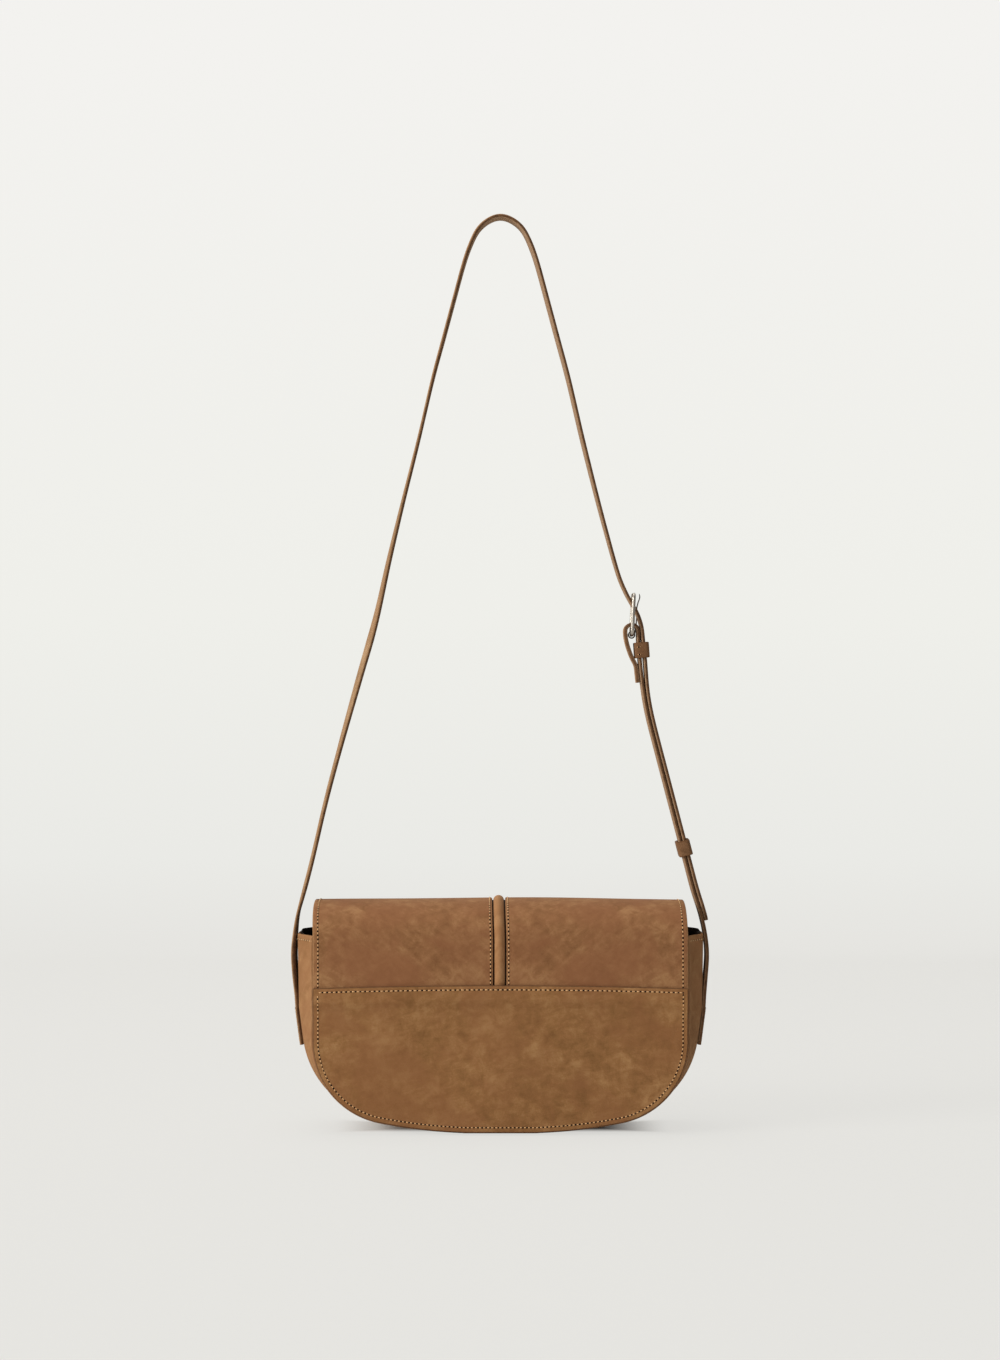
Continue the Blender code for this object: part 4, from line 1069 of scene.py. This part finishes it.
def smooth_line(points, step=6.0 * MM, fine=3):
    """Even steps on a smooth curve through (x, z) points; fine divides each step further."""
    knots = [np.array(p, float) for p in points]
    knots = [2 * knots[0] - knots[1]] + knots + [2 * knots[-1] - knots[-2]]
    line = [knots[1]]
    for a, b, c, d in zip(knots, knots[1:], knots[2:], knots[3:]):
        count = max(1, round(float(np.linalg.norm(c - b)) / step)) * fine
        for i in range(1, count + 1):
            t = i / count
            square, cube = 2 * a - 5 * b + 4 * c - d, 3 * b - a - 3 * c + d
            line.append((2 * b + t * (c - a) + t * t * square + t**3 * cube) / 2)
    return np.array(line)


def relax(line, rounds=8, step=2.0 * MM):
    """The line in even steps with its kinks eased, as leather hangs; both ends stay."""
    length = running_length(line)
    count = max(4, int(round(length[-1] / step)))
    at = np.linspace(0, length[-1], count + 1)
    eased = np.stack([np.interp(at, length, line[:, k]) for k in range(2)], axis=1)
    for _ in range(rounds):
        eased[1:-1] = 0.25 * eased[:-2] + 0.5 * eased[1:-1] + 0.25 * eased[2:]
    return eased


def left_of(line):
    ahead = np.gradient(line, axis=0)
    normal = np.stack([-ahead[:, 1], ahead[:, 0]], axis=1)
    return normal / np.linalg.norm(normal, axis=1, keepdims=True)


def belly_x(z):
    """How far out the gusset's flat belly stands at a height."""
    if z > TAB_TOP_Z:
        share = (z - TAB_TOP_Z) / (MOUTH_Z - TAB_TOP_Z)
        return BODY_HALF + BULGE_TAB + share * (BULGE_MOUTH - BULGE_TAB)
    share = (z - CORNER_Z) / (TAB_TOP_Z - CORNER_Z)
    return BODY_HALF + BULGE_CORNER + share * (BULGE_TAB - BULGE_CORNER)


def sewn_end(side):
    """The strap's sewn end from its bottom on the gusset to where it leaves the bag's side."""
    heights = [TAB_BOTTOM_Z, CORNER_Z, TAB_TOP_Z, STRAP_AXIS_Z]
    line = [(side * (belly_x(z) + GAP + STRAP_T / 2), z) for z in heights]
    low = belly_x(STRAP_AXIS_Z) + GAP + STRAP_T / 2
    middle = (MOUTH_Z + STRAP_AXIS_Z) / 2
    line.append((side * (low + STRAP_SIDE) / 2, middle - STRAP_W / 2))
    line.append((side * STRAP_SIDE, middle + STRAP_W / 2))
    return line


def sewn_foot(side):
    """The steps of the sewn end's lowest stretch, without its last place."""
    foot = np.array(sewn_end(side)[:3])
    return np.concatenate([np.linspace(foot[0], foot[1], 4)[:-1], np.linspace(foot[1], foot[2], 6)[:-1]])


def short_line():
    """The short strap from the bag's side to the buckle's bar."""
    low, high = span(RUN_LOW), span(RUN_HIGH)
    run = [low + (high - low) * i / 7 for i in range(8)]
    top = (HEEL.x + LOOP_R, HEEL.z + LOOP_LIFT)
    below = (HEEL.x + LOOP_R, HEEL.z - LOOP_LIFT)
    points = sewn_end(1)[3:] + [span(s) for s in SHORT_FOOT] + run + [span(s) for s in SHORT_TOP]
    return relax(smooth_line(points + [below, top]))


def short_parts():
    """The short strap's whole line, from its sewn end over the buckle loop to its folded-back end."""
    main = short_line()
    turns = math.pi * np.arange(1, LOOP_STEPS + 1) / LOOP_STEPS
    loop = np.stack([HEEL.x + LOOP_R * np.cos(turns), HEEL.z + LOOP_LIFT + LOOP_R * np.sin(turns)], axis=1)
    inner = main + left_of(main) * STRAP_PITCH
    keep = (inner[:, 1] > HEEL.z - RETURN_END * LOOP_R) & (inner[:, 1] < HEEL.z + RETURN[-1][1] * LOOP_R)
    way = [loop[-1]] + [np.array([HEEL.x + a * LOOP_R, HEEL.z + b * LOOP_R]) for a, b in RETURN]
    way = relax(smooth_line(way + list(inner[keep][::-3])), 4, RETURN_STEP)
    return np.concatenate([sewn_foot(1), main, loop, way[1:]])


def long_parts():
    """The long strap's line, from its sewn end over the crest and through the buckle to its tail."""
    main = short_line()
    bow = TAIL_BOW * np.exp(-(((main[:, 1] - (HEEL.z - BOW_DROP)) / BOW_REACH) ** 2))
    tail = main - left_of(main) * (STRAP_PITCH + bow)[:, None]
    tail = tail[tail[:, 1] > MOUTH_Z + TAIL_RISE][::-1]
    points = sewn_end(-1)[3:] + [span(s, -1) for s in LEFT_LEG[::-1]] + [span(s, -1) for s in UPPER_LEG[::-1]]
    points += [(0, STRAP_CREST)] + [span(s) for s in UPPER_LEG] + [span(s) for s in RIGHT_LEG]
    points += [by_buckle(s) for s in THREADED] + [tuple(tail[0])]
    body = relax(np.concatenate([smooth_line(points), tail[1:]]))
    return np.concatenate([sewn_foot(-1), body])


def strap_section(width, thickness, steps=5):
    """The strap's section as (across, out) points with rounded long edges."""
    half, thick = width / 2, thickness / 2
    corner = min(STRAP_CORNER, thick * 0.98)
    found = []
    for a, b in ((1, 1), (-1, 1), (-1, -1), (1, -1)):
        turns = np.linspace(0, math.pi / 2, steps + 1)
        if a * b < 0:
            turns = turns[::-1]
        for turn in turns:
            across, out = corner * (1 - math.cos(turn)), corner * (1 - math.sin(turn))
            found.append((a * (half - across), b * (thick - out)))
    return found


def ribbon(name, line, widths, twist=None, way=1):
    """A strap along a line of (x, z), with rounded edges, turned about its own line by twist.

    way says on which side of the line its smooth face is; the other side is its grey-brown back. The dark
    band of edge paint is narrower than the edge, and it is set on each leg's side away from the key light as
    painted shade: it leaves the lit smooth face's corner bare on the left leg and the lit back's corner on
    the right one.
    """
    # Painted shade: the dark edge band moves to the side of each leg that faces away from the key light.
    bare = (STRAP_T - 2 * BAND_MARGIN - EDGE_BAND) * fade(line[:, 0], -BAND_SHADE_TURN, BAND_SHADE_TURN)
    bottoms = BAND_MARGIN - STRAP_T / 2 + bare
    tops = bottoms + EDGE_BAND
    normals = left_of(line) * way
    length = running_length(line)
    points, spots, slots, sections = [], [], [], []
    for i, (place, normal, width) in enumerate(zip(line, normals, widths)):
        ring = strap_section(width, STRAP_T)
        filled = []
        for j, (a, b) in enumerate(ring):
            filled.append((a, b))
            nxt = ring[(j + 1) % len(ring)]
            if abs(nxt[0] - a) > width * 0.4:
                for k in range(1, FACE_STEPS):
                    share = k / FACE_STEPS
                    filled.append((a + (nxt[0] - a) * share, b + (nxt[1] - b) * share))
        sections.append(filled)
        turn = twist[i] if twist is not None else 0.0
        out = np.array([normal[0], 0, normal[1]])
        side = np.array([0, 1.0, 0])
        out_t = out * math.cos(turn) + side * math.sin(turn)
        side_t = side * math.cos(turn) - out * math.sin(turn)
        centre = np.array([place[0], MID_Y, place[1]])
        for a, b in filled:
            points.append(centre + side_t * a + out_t * b)
            spots.append((a, length[i] + (BACK_SHIFT if b < 0 else 0)))
    count = len(sections[0])
    faces = ring_walls(len(line), count) + ring_caps(len(line), count)
    for i in range(len(line) - 1):
        for j in range(count):
            level = (sections[i][j][1] + sections[i][(j + 1) % count][1]) / 2
            slots.append(0 if level > tops[i] else 2 if level < bottoms[i] else 1)
    slots += [1, 1]
    skins = [STRAP_SKIN, STRAP_EDGE, STRAP_BACK]
    made = make_object(name, np.array(points), faces, skins, slots, np.array(spots), 50)
    fix_normals(made)
    return made


def twist_of(line, table):
    """Twist in radians by height along one leg, from a short table of (height, degrees)."""
    heights, turns = zip(*sorted(table))
    return np.radians(np.interp(line[:, 1], heights, turns))


# How far each leg's outer face turns to the viewer, in degrees by height in metres.
LEFT_TWIST = (
    (0.078, 0), (0.092, -5), (0.112, -5), (0.130, 2), (0.150, 6), (0.190, 6), (0.230, 7.5),
    (0.278, 12.5), (0.304, 14), (0.330, 10), (0.390, 5), (0.450, 2.5), (0.500, 1), (0.570, 0),
)
RIGHT_TWIST = ((0.300, 0), (0.330, 1), (0.360, 0), (0.420, -2), (0.500, -3), (0.550, -3), (0.570, 0))


def bend_strap(piece):
    """Bakes the piece's transform into its mesh."""
    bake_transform(piece)


def make_straps():
    line = long_parts()
    widths = np.full(len(line), STRAP_W)
    to_end = np.linalg.norm(line - line[-1], axis=1)
    near_tail = (line[:, 0] > 0) & (to_end < TAIL_TAPER)
    share = np.clip(to_end[near_tail] / TAIL_TAPER, 0, 1)
    widths[near_tail] = TAIL_END + (STRAP_W - TAIL_END) * np.sqrt(1 - (1 - share) ** 2)
    crest = int(np.argmax(line[:, 1]))
    twist = np.zeros(len(line))
    twist[:crest] = -twist_of(line[:crest], LEFT_TWIST)
    twist[crest:] = -twist_of(line[crest:], RIGHT_TWIST)
    long = ribbon("long_strap_leather", line, widths, twist)
    bend_strap(long)
    dress(long, "strap_leather", "strap_tab_left", "long_strap")
    line = short_parts()
    short = ribbon("short_strap_leather", line, np.full(len(line), STRAP_W), way=-1)
    bend_strap(short)
    dress(short, "strap_leather", "strap_tab_right", "short_strap")


def tube(name, line, radii, skin, closed=False, sides=16, squash=1.0):
    """A round bar along 3-D points."""
    line = np.array(line)
    count = len(line)
    if closed:
        ahead = np.roll(line, -1, 0) - np.roll(line, 1, 0)
    else:
        ahead = np.gradient(line, axis=0)
    ahead /= np.linalg.norm(ahead, axis=1, keepdims=True)
    points = []
    plane = unit(np.cross(line[1] - line[0], line[count // 3] - line[0]))
    for place, way, radius in zip(line, ahead, radii):
        side = unit(plane - way * np.dot(plane, way))
        up = np.cross(way, side)
        for k in range(sides):
            turn = 2 * math.pi * k / sides
            points.append(place + side * radius * math.cos(turn) + up * radius * squash * math.sin(turn))
    faces = ring_walls(count, sides, closed) + ([] if closed else ring_caps(count, sides))
    made = make_object(name, np.array(points), faces, [skin], smooth=50)
    fix_normals(made)
    return made


def make_buckle():
    """The wire frame, the prong and the prong's eye on the heel bar."""
    half_width = STRAP_W / 2 + WIRE_ROOM + WIRE
    corner = BUCKLE_CORNER
    places = []
    starts = (-math.pi / 2, 0, math.pi / 2, math.pi)
    for (side, end), start in zip(((1, 0), (1, 1), (-1, 1), (-1, 0)), starts):
        y = side * (half_width - corner)
        along = end * BUCKLE_LONG + (1 - 2 * end) * corner
        for turn in start + np.linspace(0, math.pi / 2, 9):
            places.append((y + corner * math.cos(turn), along + corner * math.sin(turn)))
    lean, rise = math.sin(BUCKLE_TILT), math.cos(BUCKLE_TILT)
    line = [(HEEL.x + z * lean, HEEL.y + y, HEEL.z + z * rise) for y, z in places]
    frame_ring = tube("buckle_wire", line, [WIRE] * len(line), NICKEL, closed=True)
    seat(frame_ring, "buckle", "nickel", "buckle_frame")
    way = smooth_line([by_buckle(s) for s in PRONG], PRONG_STEP, fine=4)
    line = np.stack([way[:, 0], np.full(len(way), MID_Y), way[:, 1]], axis=1)
    share = np.linspace(0, 1, len(line))
    radii = PRONG_RADIUS * (1 - PRONG_TAPER * share**2)
    radii[-len(PRONG_TIP):] *= PRONG_TIP
    prong = tube("prong_bar", line, radii, PRONG_SHADED_NICKEL, squash=0.9)
    seat(prong, "prong", "nickel", "buckle_prong")
    turns = np.linspace(0, 2 * math.pi, EYE_STEPS + 1)[:-1]
    ring = [(HEEL.x + EYE_RADIUS * math.cos(t), MID_Y, HEEL.z + EYE_RADIUS * math.sin(t)) for t in turns]
    eye = tube("prong_eye", ring, [EYE_WIRE] * EYE_STEPS, PRONG_SHADED_NICKEL, closed=True)
    seat(eye, "prong", "nickel")


def band(name, centre, along, body, node, slack=KEEPER_ROOM):
    """A leather keeper round the strap's two layers."""
    out = np.array([along[1], -along[0]])
    half_out = STRAP_PITCH / 2 + STRAP_T / 2 + slack
    half_across = STRAP_W / 2 + KEEPER_ROOM

    def loop(a_half, b_half, radius):
        found = []
        for quarter, (a, b) in enumerate(((1, 1), (-1, 1), (-1, -1), (1, -1))):
            for turn in math.pi / 2 * (quarter + np.linspace(0, 1, 7)):
                across, up = radius * math.cos(turn), radius * math.sin(turn)
                found.append((a * (a_half - radius) + across, b * (b_half - radius) + up))
        return found

    outer = loop(half_out + KEEPER_WALL, half_across + KEEPER_WALL, KEEPER_CORNER)
    inner = loop(half_out, half_across, KEEPER_BORE_CORNER)
    mid = [((a + c) / 2, (b + d) / 2) for (a, b), (c, d) in zip(outer, inner)]
    # Round the wall's own section: share of the way from its middle to its outer or (-) inner face, height.
    tall, level, crown = KEEPER_HALF, KEEPER_HALF - KEEPER_SOFT, KEEPER_HALF - KEEPER_CROWN
    rows = [(1.0, -level), (1.0, 0.0), (1.0, level), (0.8, crown), (0.0, tall), (-0.8, crown)]
    rows += [(-1.0, level), (-1.0, -level), (-0.8, -crown), (0.0, -tall), (0.8, -crown)]
    points = []
    for share, height in rows:
        for (a, b), (c, d), (e, f) in zip(outer, mid, inner):
            pa = c + (a - c) * share if share >= 0 else c + (e - c) * -share
            pb = d + (b - d) * share if share >= 0 else d + (f - d) * -share
            place = centre + out * pa + along * height
            points.append((place[0], MID_Y + pb, place[1]))
    # The outer and the inner face are nubuck, and the rest is painted edge.
    slots = [0 if r in (0, 1, 6) else 1 for r in range(len(rows)) for _ in outer]
    faces = ring_walls(len(rows), len(outer), closed=True)
    made = make_object(name, np.array(points), faces, [KEEPER_SKIN, EDGE], slots, smooth=50)
    fix_normals(made)
    seat(made, body, "strap_leather", node)


def stitch_keeper(centre, along, out):
    """Two short stitches near the fixed keeper's ends, where its leather laps."""
    front_y = MID_Y - STRAP_W / 2 - KEEPER_ROOM - KEEPER_WALL
    lines = []
    for up in KEEPER_ROWS:
        for way in (-1, 1):
            ends = [centre + along * up + out * (KEEPER_JOINT + way * reach) for reach in KEEPER_ROW_ENDS]
            line = [(end[0], front_y, end[1]) for end in ends]
            lines.append((line, [(0, -1, 0)] * 2, KEEPER_PITCH))
    seat(stitch_mesh("stitches_keeper", lines), "strap", "strap_leather")


def make_keepers():
    main = short_line()
    drop = HEEL.z - FIXED_KEEPER_DROP
    i = int(np.argmin(np.abs(main[:, 1] - drop)))
    along = unit(main[i + 1] - main[i - 1])
    out = np.array([along[1], -along[0]])
    centre = main[i] + out * (STRAP_PITCH / 2 + TAIL_BOW / 2)
    band("keeper_fixed", centre, along, "strap", "fixed_keeper", KEEPER_ROOM + TAIL_BOW / 2)
    stitch_keeper(centre, along, out)
    low, high = span(RUN_LOW), span(RUN_HIGH)
    along = unit(high - low)
    centre = low + (high - low) * SLIDING_KEEPER_SHARE + np.array([along[1], -along[0]]) * STRAP_PITCH / 2
    band("keeper_sliding", centre, along, "slider", "sliding_keeper")


def flap_line(xs, ds):
    xs, ds = np.broadcast_arrays(np.asarray(xs, float), np.asarray(ds, float))
    return outward_line(flap_point, xs.copy(), ds.copy(), from_arch)


def to_front(place):
    return np.tile((0.0, -1.0, 0.0), (len(place), 1))


def lower_line(xs, zs):
    xs, zs = np.broadcast_arrays(np.asarray(xs, float), np.asarray(zs, float))
    return outward_line(lower_point, xs.copy(), zs.copy(), to_front)


def stitch_flap():
    edge = FLAP_HALF - EDGE_MARGIN
    channel = CHANNEL_HALF + CHANNEL_ROW
    back, front = [], []
    for side in (-1, 1):
        for x in (side * edge, RIDGE_X + side * channel):
            low = down_to(seam_z(x) + UPPER_ROW_END)
            ds = np.linspace(BACK_ROW_START, CREST, 120)
            back.append((*flap_line(x, ds), EDGE_PITCH))
            ds = np.linspace(CREST, low, 160)
            front.append((*flap_line(x, ds), EDGE_PITCH))
    for side in (-1, 1):
        xs = side * np.linspace(channel, edge, 80)
        back.append((*flap_line(xs, BACK_ROW), SEAM_PITCH))
    bend_back(stitch_mesh("stitches_flap_back", back))
    bend_front(stitch_mesh("stitches_flap_front", front))
    lines = []
    xs = np.linspace(-edge, edge, 300)
    lines.append((*lower_line(xs, seam_z(xs) - LOWER_ROW), SEAM_PITCH))
    rim = half_moon_columns(FLAP_INSET + EDGE_MARGIN)
    top = np.array([[rim[0][0], z] for z in np.linspace(seam_z(edge) - RIM_ROW_START, rim[0][1], 12)[:-1]])
    whole = np.concatenate([top, rim, (top * (-1, 1))[::-1]])
    lines.append((*lower_line(whole[:, 0], whole[:, 1]), EDGE_PITCH))
    seat(stitch_mesh("stitches_lower_panel", lines), "flap_front", "lower_leather")


def stitch_body():
    lines = []
    rim = half_moon_columns(EDGE_MARGIN)
    side = np.array([[rim[0][0], z] for z in np.linspace(MOUTH_Z - BODY_ROW_START, rim[0][1], 40)[:-1]])
    whole = np.concatenate([side, rim, (side * (-1, 1))[::-1]])
    for outer_y, way in ((PANEL_FRONT_Y, -1), (PANEL_BACK_Y, 1)):
        place = panel_face(whole[:, 0], whole[:, 1], outer_y, way)
        normal = np.tile((0.0, float(way), 0.0), (len(place), 1))
        lines.append((place, normal, EDGE_PITCH))
    xs = np.linspace(-BODY_HALF + MOUTH_ROW_ENDS, BODY_HALF - MOUTH_ROW_ENDS, 200)
    place = panel_face(xs, np.full(200, MOUTH_Z - MOUTH_ROW), PANEL_FRONT_Y, -1)
    lines.append((place, np.tile((0.0, -1.0, 0.0), (200, 1)), SEAM_PITCH))
    total = STATION_AT[-1]
    for at in (GUSSET_ROW, total - GUSSET_ROW):
        half = GUSSET_HALF_DEPTH - GUSSET_ROW_ENDS
        ys = np.linspace(-half, half, 80)
        place, normal = surface(gusset_point, ys, np.full(80, at))
        away = np.tile((1.0 if at < total / 2 else -1.0, 0.0, 0.0), (80, 1))
        turned = np.sign((normal * away).sum(axis=1, keepdims=True))
        lines.append((place, normal * turned, EDGE_PITCH))
    seat(stitch_mesh("stitches_body", lines), "bag", "side_leather")


def stitch_straps():
    """The rows that hold the strap's ends on the gusset."""
    lines = []
    for side in (-1, 1):
        zs = np.linspace(TAB_BOTTOM_Z + TAB_ROW_LOW, TAB_TOP_Z - TAB_ROW_HIGH, 40)
        xs = np.array([side * (belly_x(z) + GAP + STRAP_T) for z in zs])
        normal = np.tile((float(side), 0.0, 0.0), (40, 1))
        for y in (-STRAP_W / 2 + TAB_ROW, STRAP_W / 2 - TAB_ROW):
            lines.append((np.stack([xs, np.full(40, MID_Y + y), zs], axis=1), normal, EDGE_PITCH))
        for z in (TAB_BOTTOM_Z + TAB_CROSS_LOW, TAB_TOP_Z - TAB_CROSS_HIGH):
            half = STRAP_W / 2 - TAB_CROSS_ENDS
            ys = np.linspace(-half, half, 20)
            x = side * (belly_x(z) + GAP + STRAP_T)
            place = np.stack([np.full(20, x), MID_Y + ys, np.full(20, z)], axis=1)
            lines.append((place, np.tile((float(side), 0.0, 0.0), (20, 1)), EDGE_PITCH))
    seat(stitch_mesh("stitches_strap_ends", lines, STITCH_SINK), "bag", "strap_leather")


def area_light(name, place, target, size, power, tint=(1, 1, 1)):
    data = bpy.data.lights.new(name, "AREA")
    data.shape = "RECTANGLE"
    data.size, data.size_y = size
    data.energy = power
    data.color = tint
    lamp = bpy.data.objects.new(name, data)
    lamp.location = place
    lamp.rotation_euler = (Vector(target) - Vector(place)).to_track_quat("-Z", "Y").to_euler()
    bpy.context.scene.collection.objects.link(lamp)
    return lamp


def paper_material():
    """Pale paper: lit, with the bag's shadow, only in a painted box round the bag; elsewhere the camera and
    glossy rays see mostly a glow in the backdrop's tone, lighter with height.
    """
    made, tree, shader = new_material("paper")
    place = add(tree, "ShaderNodeNewGeometry").outputs["Position"]
    axes = add(tree, "ShaderNodeSeparateXYZ")
    tree.links.new(place, axes.inputs[0])
    grain = noise_node(tree, place, 300, 2)
    base = ramp_node(tree, grain, ((0.3, colour(220, 219, 215)), (0.7, colour(223, 222, 218))))
    tree.links.new(base, shader.inputs["Base Color"])
    set_inputs(shader, Roughness=0.9, Specular_IOR_Level=0.1)
    height = math_node(tree, "MULTIPLY", axes.outputs["Z"], 1 / BACKDROP_SPAN, clamp=True)
    tones = ((0.0, BACKDROP_LOW), (0.06, BACKDROP_MID), (0.30, BACKDROP_TALL), (0.9, BACKDROP_HIGH))
    tone = ramp_node(tree, height, tones)
    glow = add(tree, "ShaderNodeEmission")
    tree.links.new(tone, glow.inputs["Color"])
    rays = add(tree, "ShaderNodeLightPath")
    seen = math_node(tree, "MAXIMUM", rays.outputs["Is Camera Ray"], rays.outputs["Is Glossy Ray"])
    seen = math_node(tree, "MAXIMUM", seen, rays.outputs["Is Transmission Ray"])
    behind = add(tree, "ShaderNodeMapRange", interpolation_type="SMOOTHSTEP")
    set_inputs(behind, From_Min=BACKDROP_START, From_Max=BACKDROP_FULL)
    tree.links.new(axes.outputs["Y"], behind.inputs["Value"])
    own = behind.outputs[0]
    # Painted shadow: inside a box round the bag the glow fades out, so that only there the lit floor shows
    # the bag's shadow.
    for axis, middle, near, far in (("X", 0.0, *PAINTED_SHADOW_X), ("Y", MID_Y, *PAINTED_SHADOW_Y)):
        reach = math_node(tree, "ABSOLUTE", math_node(tree, "SUBTRACT", axes.outputs[axis], middle), 0.0)
        away = add(tree, "ShaderNodeMapRange", interpolation_type="SMOOTHSTEP")
        set_inputs(away, From_Min=near, From_Max=far, To_Max=FLOOR_OWN_TONE)
        tree.links.new(reach, away.inputs["Value"])
        own = math_node(tree, "MAXIMUM", own, away.outputs[0])
    share = math_node(tree, "MULTIPLY", seen, own)
    blend = add(tree, "ShaderNodeMixShader")
    tree.links.new(share, blend.inputs[0])
    tree.links.new(shader.outputs[0], blend.inputs[1])
    tree.links.new(glow.outputs[0], blend.inputs[2])
    tree.links.new(blend.outputs[0], tree.nodes["Material Output"].inputs["Surface"])
    return made


def make_stage():
    """A pale floor that rolls up into the backdrop, a soft key from the left and fills."""
    start, bend = WALL_START, WALL_BEND
    profile = [(FLOOR_FRONT, 0.0), (start, 0.0)]
    turns = np.linspace(0, math.pi / 2, 25)[1:]
    profile += [(start + bend * math.sin(t), bend - bend * math.cos(t)) for t in turns]
    profile += [(start + bend, WALL_TOP)]
    points = [(x, y, z - FLOOR_DROP) for y, z in profile for x in (-FLOOR_HALF, FLOOR_HALF)]
    faces = [(2 * i, 2 * i + 1, 2 * i + 3, 2 * i + 2) for i in range(len(profile) - 1)]
    floor = make_object("paper_sweep", np.array(points), faces, [paper_material()], smooth=60)
    lamps = [
        area_light("key", (-3.5, -1.7, 1.6), (0, 0, 0.15), (1.8, 1.8), 130, (1.0, 0.985, 0.96)),
        area_light("front", (0.1, -2.2, 1.3), (0, 0, 0.15), (1.6, 1.2), 4, (1.0, 0.99, 0.98)),
        area_light("top", (-0.2, 0.1, 1.9), (0, 0, 0.1), (1.2, 1.2), 15),
    ]
    world = bpy.context.scene.world or bpy.data.worlds.new("room")
    bpy.context.scene.world = world
    world.use_nodes = True
    tree = world.node_tree
    tree.nodes["Background"].inputs[0].default_value = (0.99, 0.985, 0.98, 1)
    axes = add(tree, "ShaderNodeSeparateXYZ")
    tree.links.new(add(tree, "ShaderNodeTexCoord").outputs["Generated"], axes.inputs[0])
    level = add(tree, "ShaderNodeMapRange")
    set_inputs(level, From_Min=-1, From_Max=1, To_Min=ROOM_LEFT, To_Max=ROOM_RIGHT)
    tree.links.new(axes.outputs["X"], level.inputs["Value"])
    seen = add(tree, "ShaderNodeLightPath").outputs["Is Camera Ray"]
    shown = math_node(tree, "MULTIPLY", seen, ROOM_SHOWN)
    strength = math_node(tree, "MAXIMUM", level.outputs[0], shown)
    tree.links.new(strength, tree.nodes["Background"].inputs[1])


def make_camera():
    data = bpy.data.cameras.new("camera")
    data.sensor_fit = "HORIZONTAL"
    data.sensor_width = SENSOR
    data.lens = SENSOR / (PHOTO_WIDTH * PIXEL) * CAMERA_AWAY
    made = bpy.data.objects.new("camera", data)
    made.location = (-0.5 * PIXEL, MID_Y - CAMERA_AWAY, CAMERA_HEIGHT)
    made.rotation_euler = (math.pi / 2, 0, 0)
    bpy.context.scene.collection.objects.link(made)
    bpy.context.scene.camera = made


def main():
    scene = bpy.context.scene
    scene.view_settings.view_transform = "Standard"
    make_stage()
    make_camera()
    make_upper_panels()
    make_lower_panel()
    make_ridge()
    make_flap_linings()
    make_panels()
    make_gusset()
    make_pocket()
    make_snap()
    make_straps()
    make_buckle()
    make_keepers()
    stitch_flap()
    stitch_body()
    stitch_straps()
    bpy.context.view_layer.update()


main()
